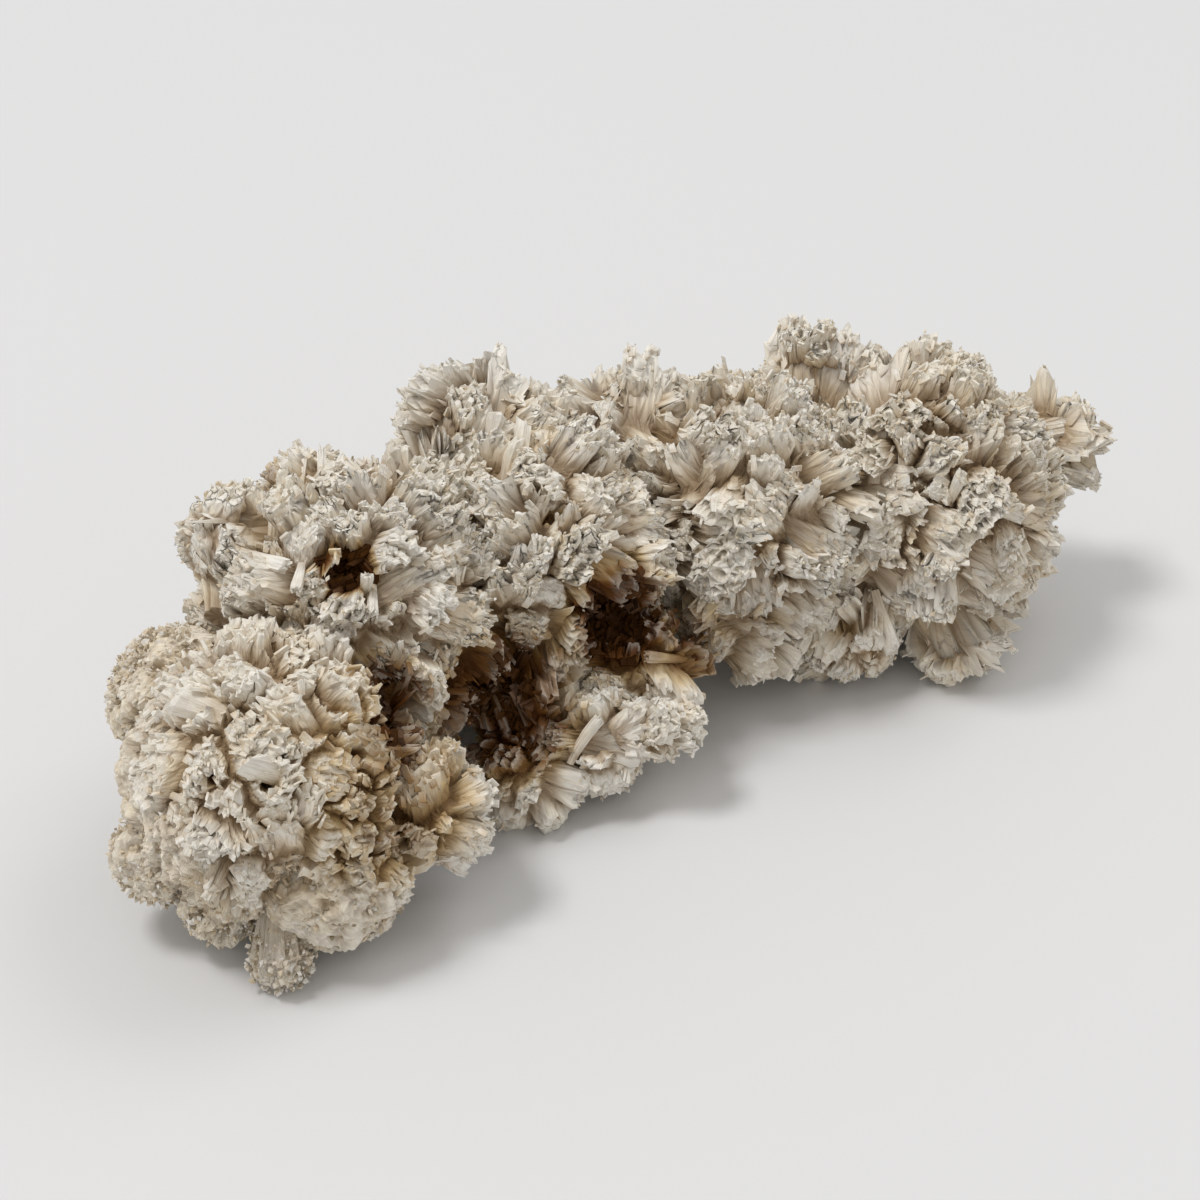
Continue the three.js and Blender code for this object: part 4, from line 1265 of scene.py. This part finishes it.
def grains_mesh(name, places, sizes, lean_to, stain_and_shade):
    """Grains at the places, each the double pyramid stretched by its three sizes, its long axis near
    lean_to and spun at random about it."""
    count = len(places)
    long_axis = unit(lean_to + chance.normal(0, 0.45, (count, 3)))
    side = unit(np.cross(long_axis, unit(chance.normal(0, 1, (count, 3)))))
    third = np.cross(long_axis, side)
    axes = np.stack([long_axis, side, third], axis=1)
    corners = places[:, None] + np.einsum("kj,nj,njx->nkx", GRAIN_CORNERS, sizes, axes)
    corners[..., 2] = np.maximum(corners[..., 2], 0)
    faces = (np.arange(count)[:, None, None] * len(GRAIN_CORNERS) + GRAIN_FACES).reshape(-1, 3)
    return mesh_object(name, corners.reshape(-1, 3), [faces], {
        "tint": np.repeat(chance.uniform(0, 1, count), len(GRAIN_CORNERS)),
        "stain_and_shade": np.repeat(stain_and_shade, len(GRAIN_CORNERS)),
    })


def frost_material():
    """Frost: small clear to milky grains, about one in three darkened by grey dust."""
    material = bpy.data.materials.new("frosted_albite_grains")
    material.use_nodes = True
    tree = material.node_tree
    tree.nodes.clear()
    tint = add(tree, "ShaderNodeAttribute", {}, attribute_name="tint")
    ramp = add(tree, "ShaderNodeValToRGB", {"Fac": tint.outputs["Fac"]})
    ramp.color_ramp.interpolation = "CONSTANT"
    stops = [(0.0, "#A3957C"), (0.07, "#C2B49C"), (0.22, "#E6D7BC"), (0.5, "#F0E6D4"), (0.78, "#F8F4EC")]
    while len(ramp.color_ramp.elements) < len(stops):
        ramp.color_ramp.elements.new(0.5)
    for element, (position, colour) in zip(ramp.color_ramp.elements, stops):
        element.position = position
        element.color = linear(colour)
    stain_and_shade = add(tree, "ShaderNodeAttribute", {}, attribute_name="stain_and_shade")
    tanned = add(tree, "ShaderNodeMix", {
        0: stain_and_shade.outputs["Fac"], 6: ramp.outputs["Color"], 7: linear("#6B4A28"),
    }, data_type="RGBA")
    place = add(tree, "ShaderNodeTexCoord", {}).outputs["Object"]
    grit = add(tree, "ShaderNodeTexNoise", {"Vector": place, "Scale": 6000.0, "Detail": 1.0})
    bump = add(tree, "ShaderNodeBump", {"Height": grit.outputs["Fac"], "Strength": 0.3, "Distance": 0.00005})
    surface = add(tree, "ShaderNodeBsdfPrincipled", {
        "Base Color": tanned.outputs[2], "Roughness": 0.4, "IOR": 1.53, "Normal": bump.outputs["Normal"],
    })
    output = add(tree, "ShaderNodeOutputMaterial", {})
    tree.links.new(surface.outputs["BSDF"], output.inputs["Surface"])
    return material


grain_material = frost_material()
weight = tips["share"] * (tips["end"] > 0.5) * np.maximum(tips["frost"] - 0.2, 0)
host = those(tips, chance.choice(len(weight), FROST_GRAINS, p=weight / weight.sum()))
places = host["place"] + chance.normal(0, 0.16 * MM, (FROST_GRAINS, 3))
grain_sizes = np.array([0.3, 0.17, 0.11]) * MM * chance.uniform(0.6, 1.3, (FROST_GRAINS, 1))
belongs(grains_mesh("frost_grains", places, grain_sizes, host["axis"], host["stain_and_shade"]), grain_material)

# Slivers: short blades that grew later on the sheaves' ends, roughly along them.
host = those(tips, chance.choice(len(weight), SLIVERS, p=tips["share"] / tips["share"].sum()))
way = unit(host["axis"] + chance.normal(0, 0.4, (SLIVERS, 3)))
sliver_length = chance.uniform(0.6, 1.5, SLIVERS) * MM
sliver_middle = host["place"] + chance.normal(0, 0.15 * MM, (SLIVERS, 3))
slivers = {
    "root": sliver_middle - way * (0.65 * sliver_length)[:, None],
    "axis": way,
    "across": unit(np.cross(way, unit(chance.normal(0, 1, (SLIVERS, 3))))),
    "length": sliver_length,
    "root_width": chance.uniform(0.4, 0.7, SLIVERS) * MM,
    "edge_width": chance.uniform(0.4, 0.9, SLIVERS) * MM,
    "thickness": chance.uniform(0.2, 0.34, SLIVERS) * MM,
    "edge_thickness": chance.uniform(0.12, 0.26, SLIVERS) * MM,
    "slant": chance.uniform(-1, 1, SLIVERS),
    "bend": np.zeros(SLIVERS),
    "seed": chance.uniform(0, 50, SLIVERS) * MM,
    "tint": chance.uniform(0, 0.8, SLIVERS),
    "white": np.clip(host["white"] + 0.2, 0, 1),
    "frost": host["frost"] * 0.6,
    "stain_and_shade": host["stain_and_shade"],
}
belongs(plates_mesh("second_growth_slivers", slivers, [0.0, 1.0], 2, 0.2), blade_material)

sugar_roots, sugar_outs, sugar_growths = spray_places(SUGAR_PITCH, 0.4)
sweet = sugariness(sugar_roots) > chance.uniform(0.3, 0.9, len(sugar_roots))
sugar_roots, sugar_outs = sugar_roots[sweet], sugar_outs[sweet]
rise = np.minimum(reaches[sugar_growths[sweet]], 1.2 * MM) * chance.uniform(0.0, 0.8, sweet.sum())
sugar_sizes = np.array([0.3, 0.22, 0.16]) * MM * chance.uniform(0.4, 1.5, (sweet.sum(), 1)) ** 1.3
belongs(grains_mesh("sugar_grains", sugar_roots + sugar_outs * rise[:, None], sugar_sizes, sugar_outs * 0.5,
                    0.12 + 0.88 * staining(sugar_roots)), grain_material)


# The floor and the light.
# A plain pale studio table, lit softly from behind and above on the left.

FLOOR_HALF = 1.5
floor_mesh = bpy.data.meshes.new("floor")
floor_turns = [(-1, -1), (1, -1), (1, 1), (-1, 1)]
floor_corners = [(FLOOR_HALF * x, FLOOR_HALF * y, 0) for x, y in floor_turns]
floor_mesh.from_pydata(floor_corners, [], [(0, 1, 2, 3)])
floor = bpy.data.objects.new("floor", floor_mesh)
bpy.context.collection.objects.link(floor)
floor_material = bpy.data.materials.new("pale_laminate")
floor_material.use_nodes = True
floor_surface = floor_material.node_tree.nodes["Principled BSDF"]
floor_surface.inputs["Base Color"].default_value = linear("#E5E5E5")
floor_surface.inputs["Roughness"].default_value = 0.45
floor_surface.inputs["IOR"].default_value = 1.4
floor_mesh.materials.append(floor_material)


def soft_light(name, place, size, power):
    """A square area light, metres and watts, that faces the specimen."""
    data = bpy.data.lights.new(name, "AREA")
    data.shape = "SQUARE"
    data.size = size
    data.energy = power
    light = bpy.data.objects.new(name, data)
    place = np.array(place)
    back = unit(place - AIM)
    side = unit(np.cross([0.0, 0.0, 1.0], back))
    turned = Matrix([list(side), list(np.cross(back, side)), list(back)]).transposed()
    light.matrix_world = Matrix.Translation(place.tolist()) @ turned.to_4x4()
    bpy.context.collection.objects.link(light)


soft_light("key", -0.9 * screen_right + np.array([-0.05, -0.05, 2.1]), 0.6, 21.5)
soft_light("rim", 1.1 * screen_right + np.array([0.6, 0.65, 1.9]), 1.2, 9.0)
world = bpy.data.worlds.new("studio")
world.use_nodes = True
world.node_tree.nodes["Background"].inputs["Color"].default_value = linear("#F4F3F2")
world.node_tree.nodes["Background"].inputs["Strength"].default_value = 0.56
bpy.context.scene.world = world
bpy.context.scene.view_settings.view_transform = "Standard"
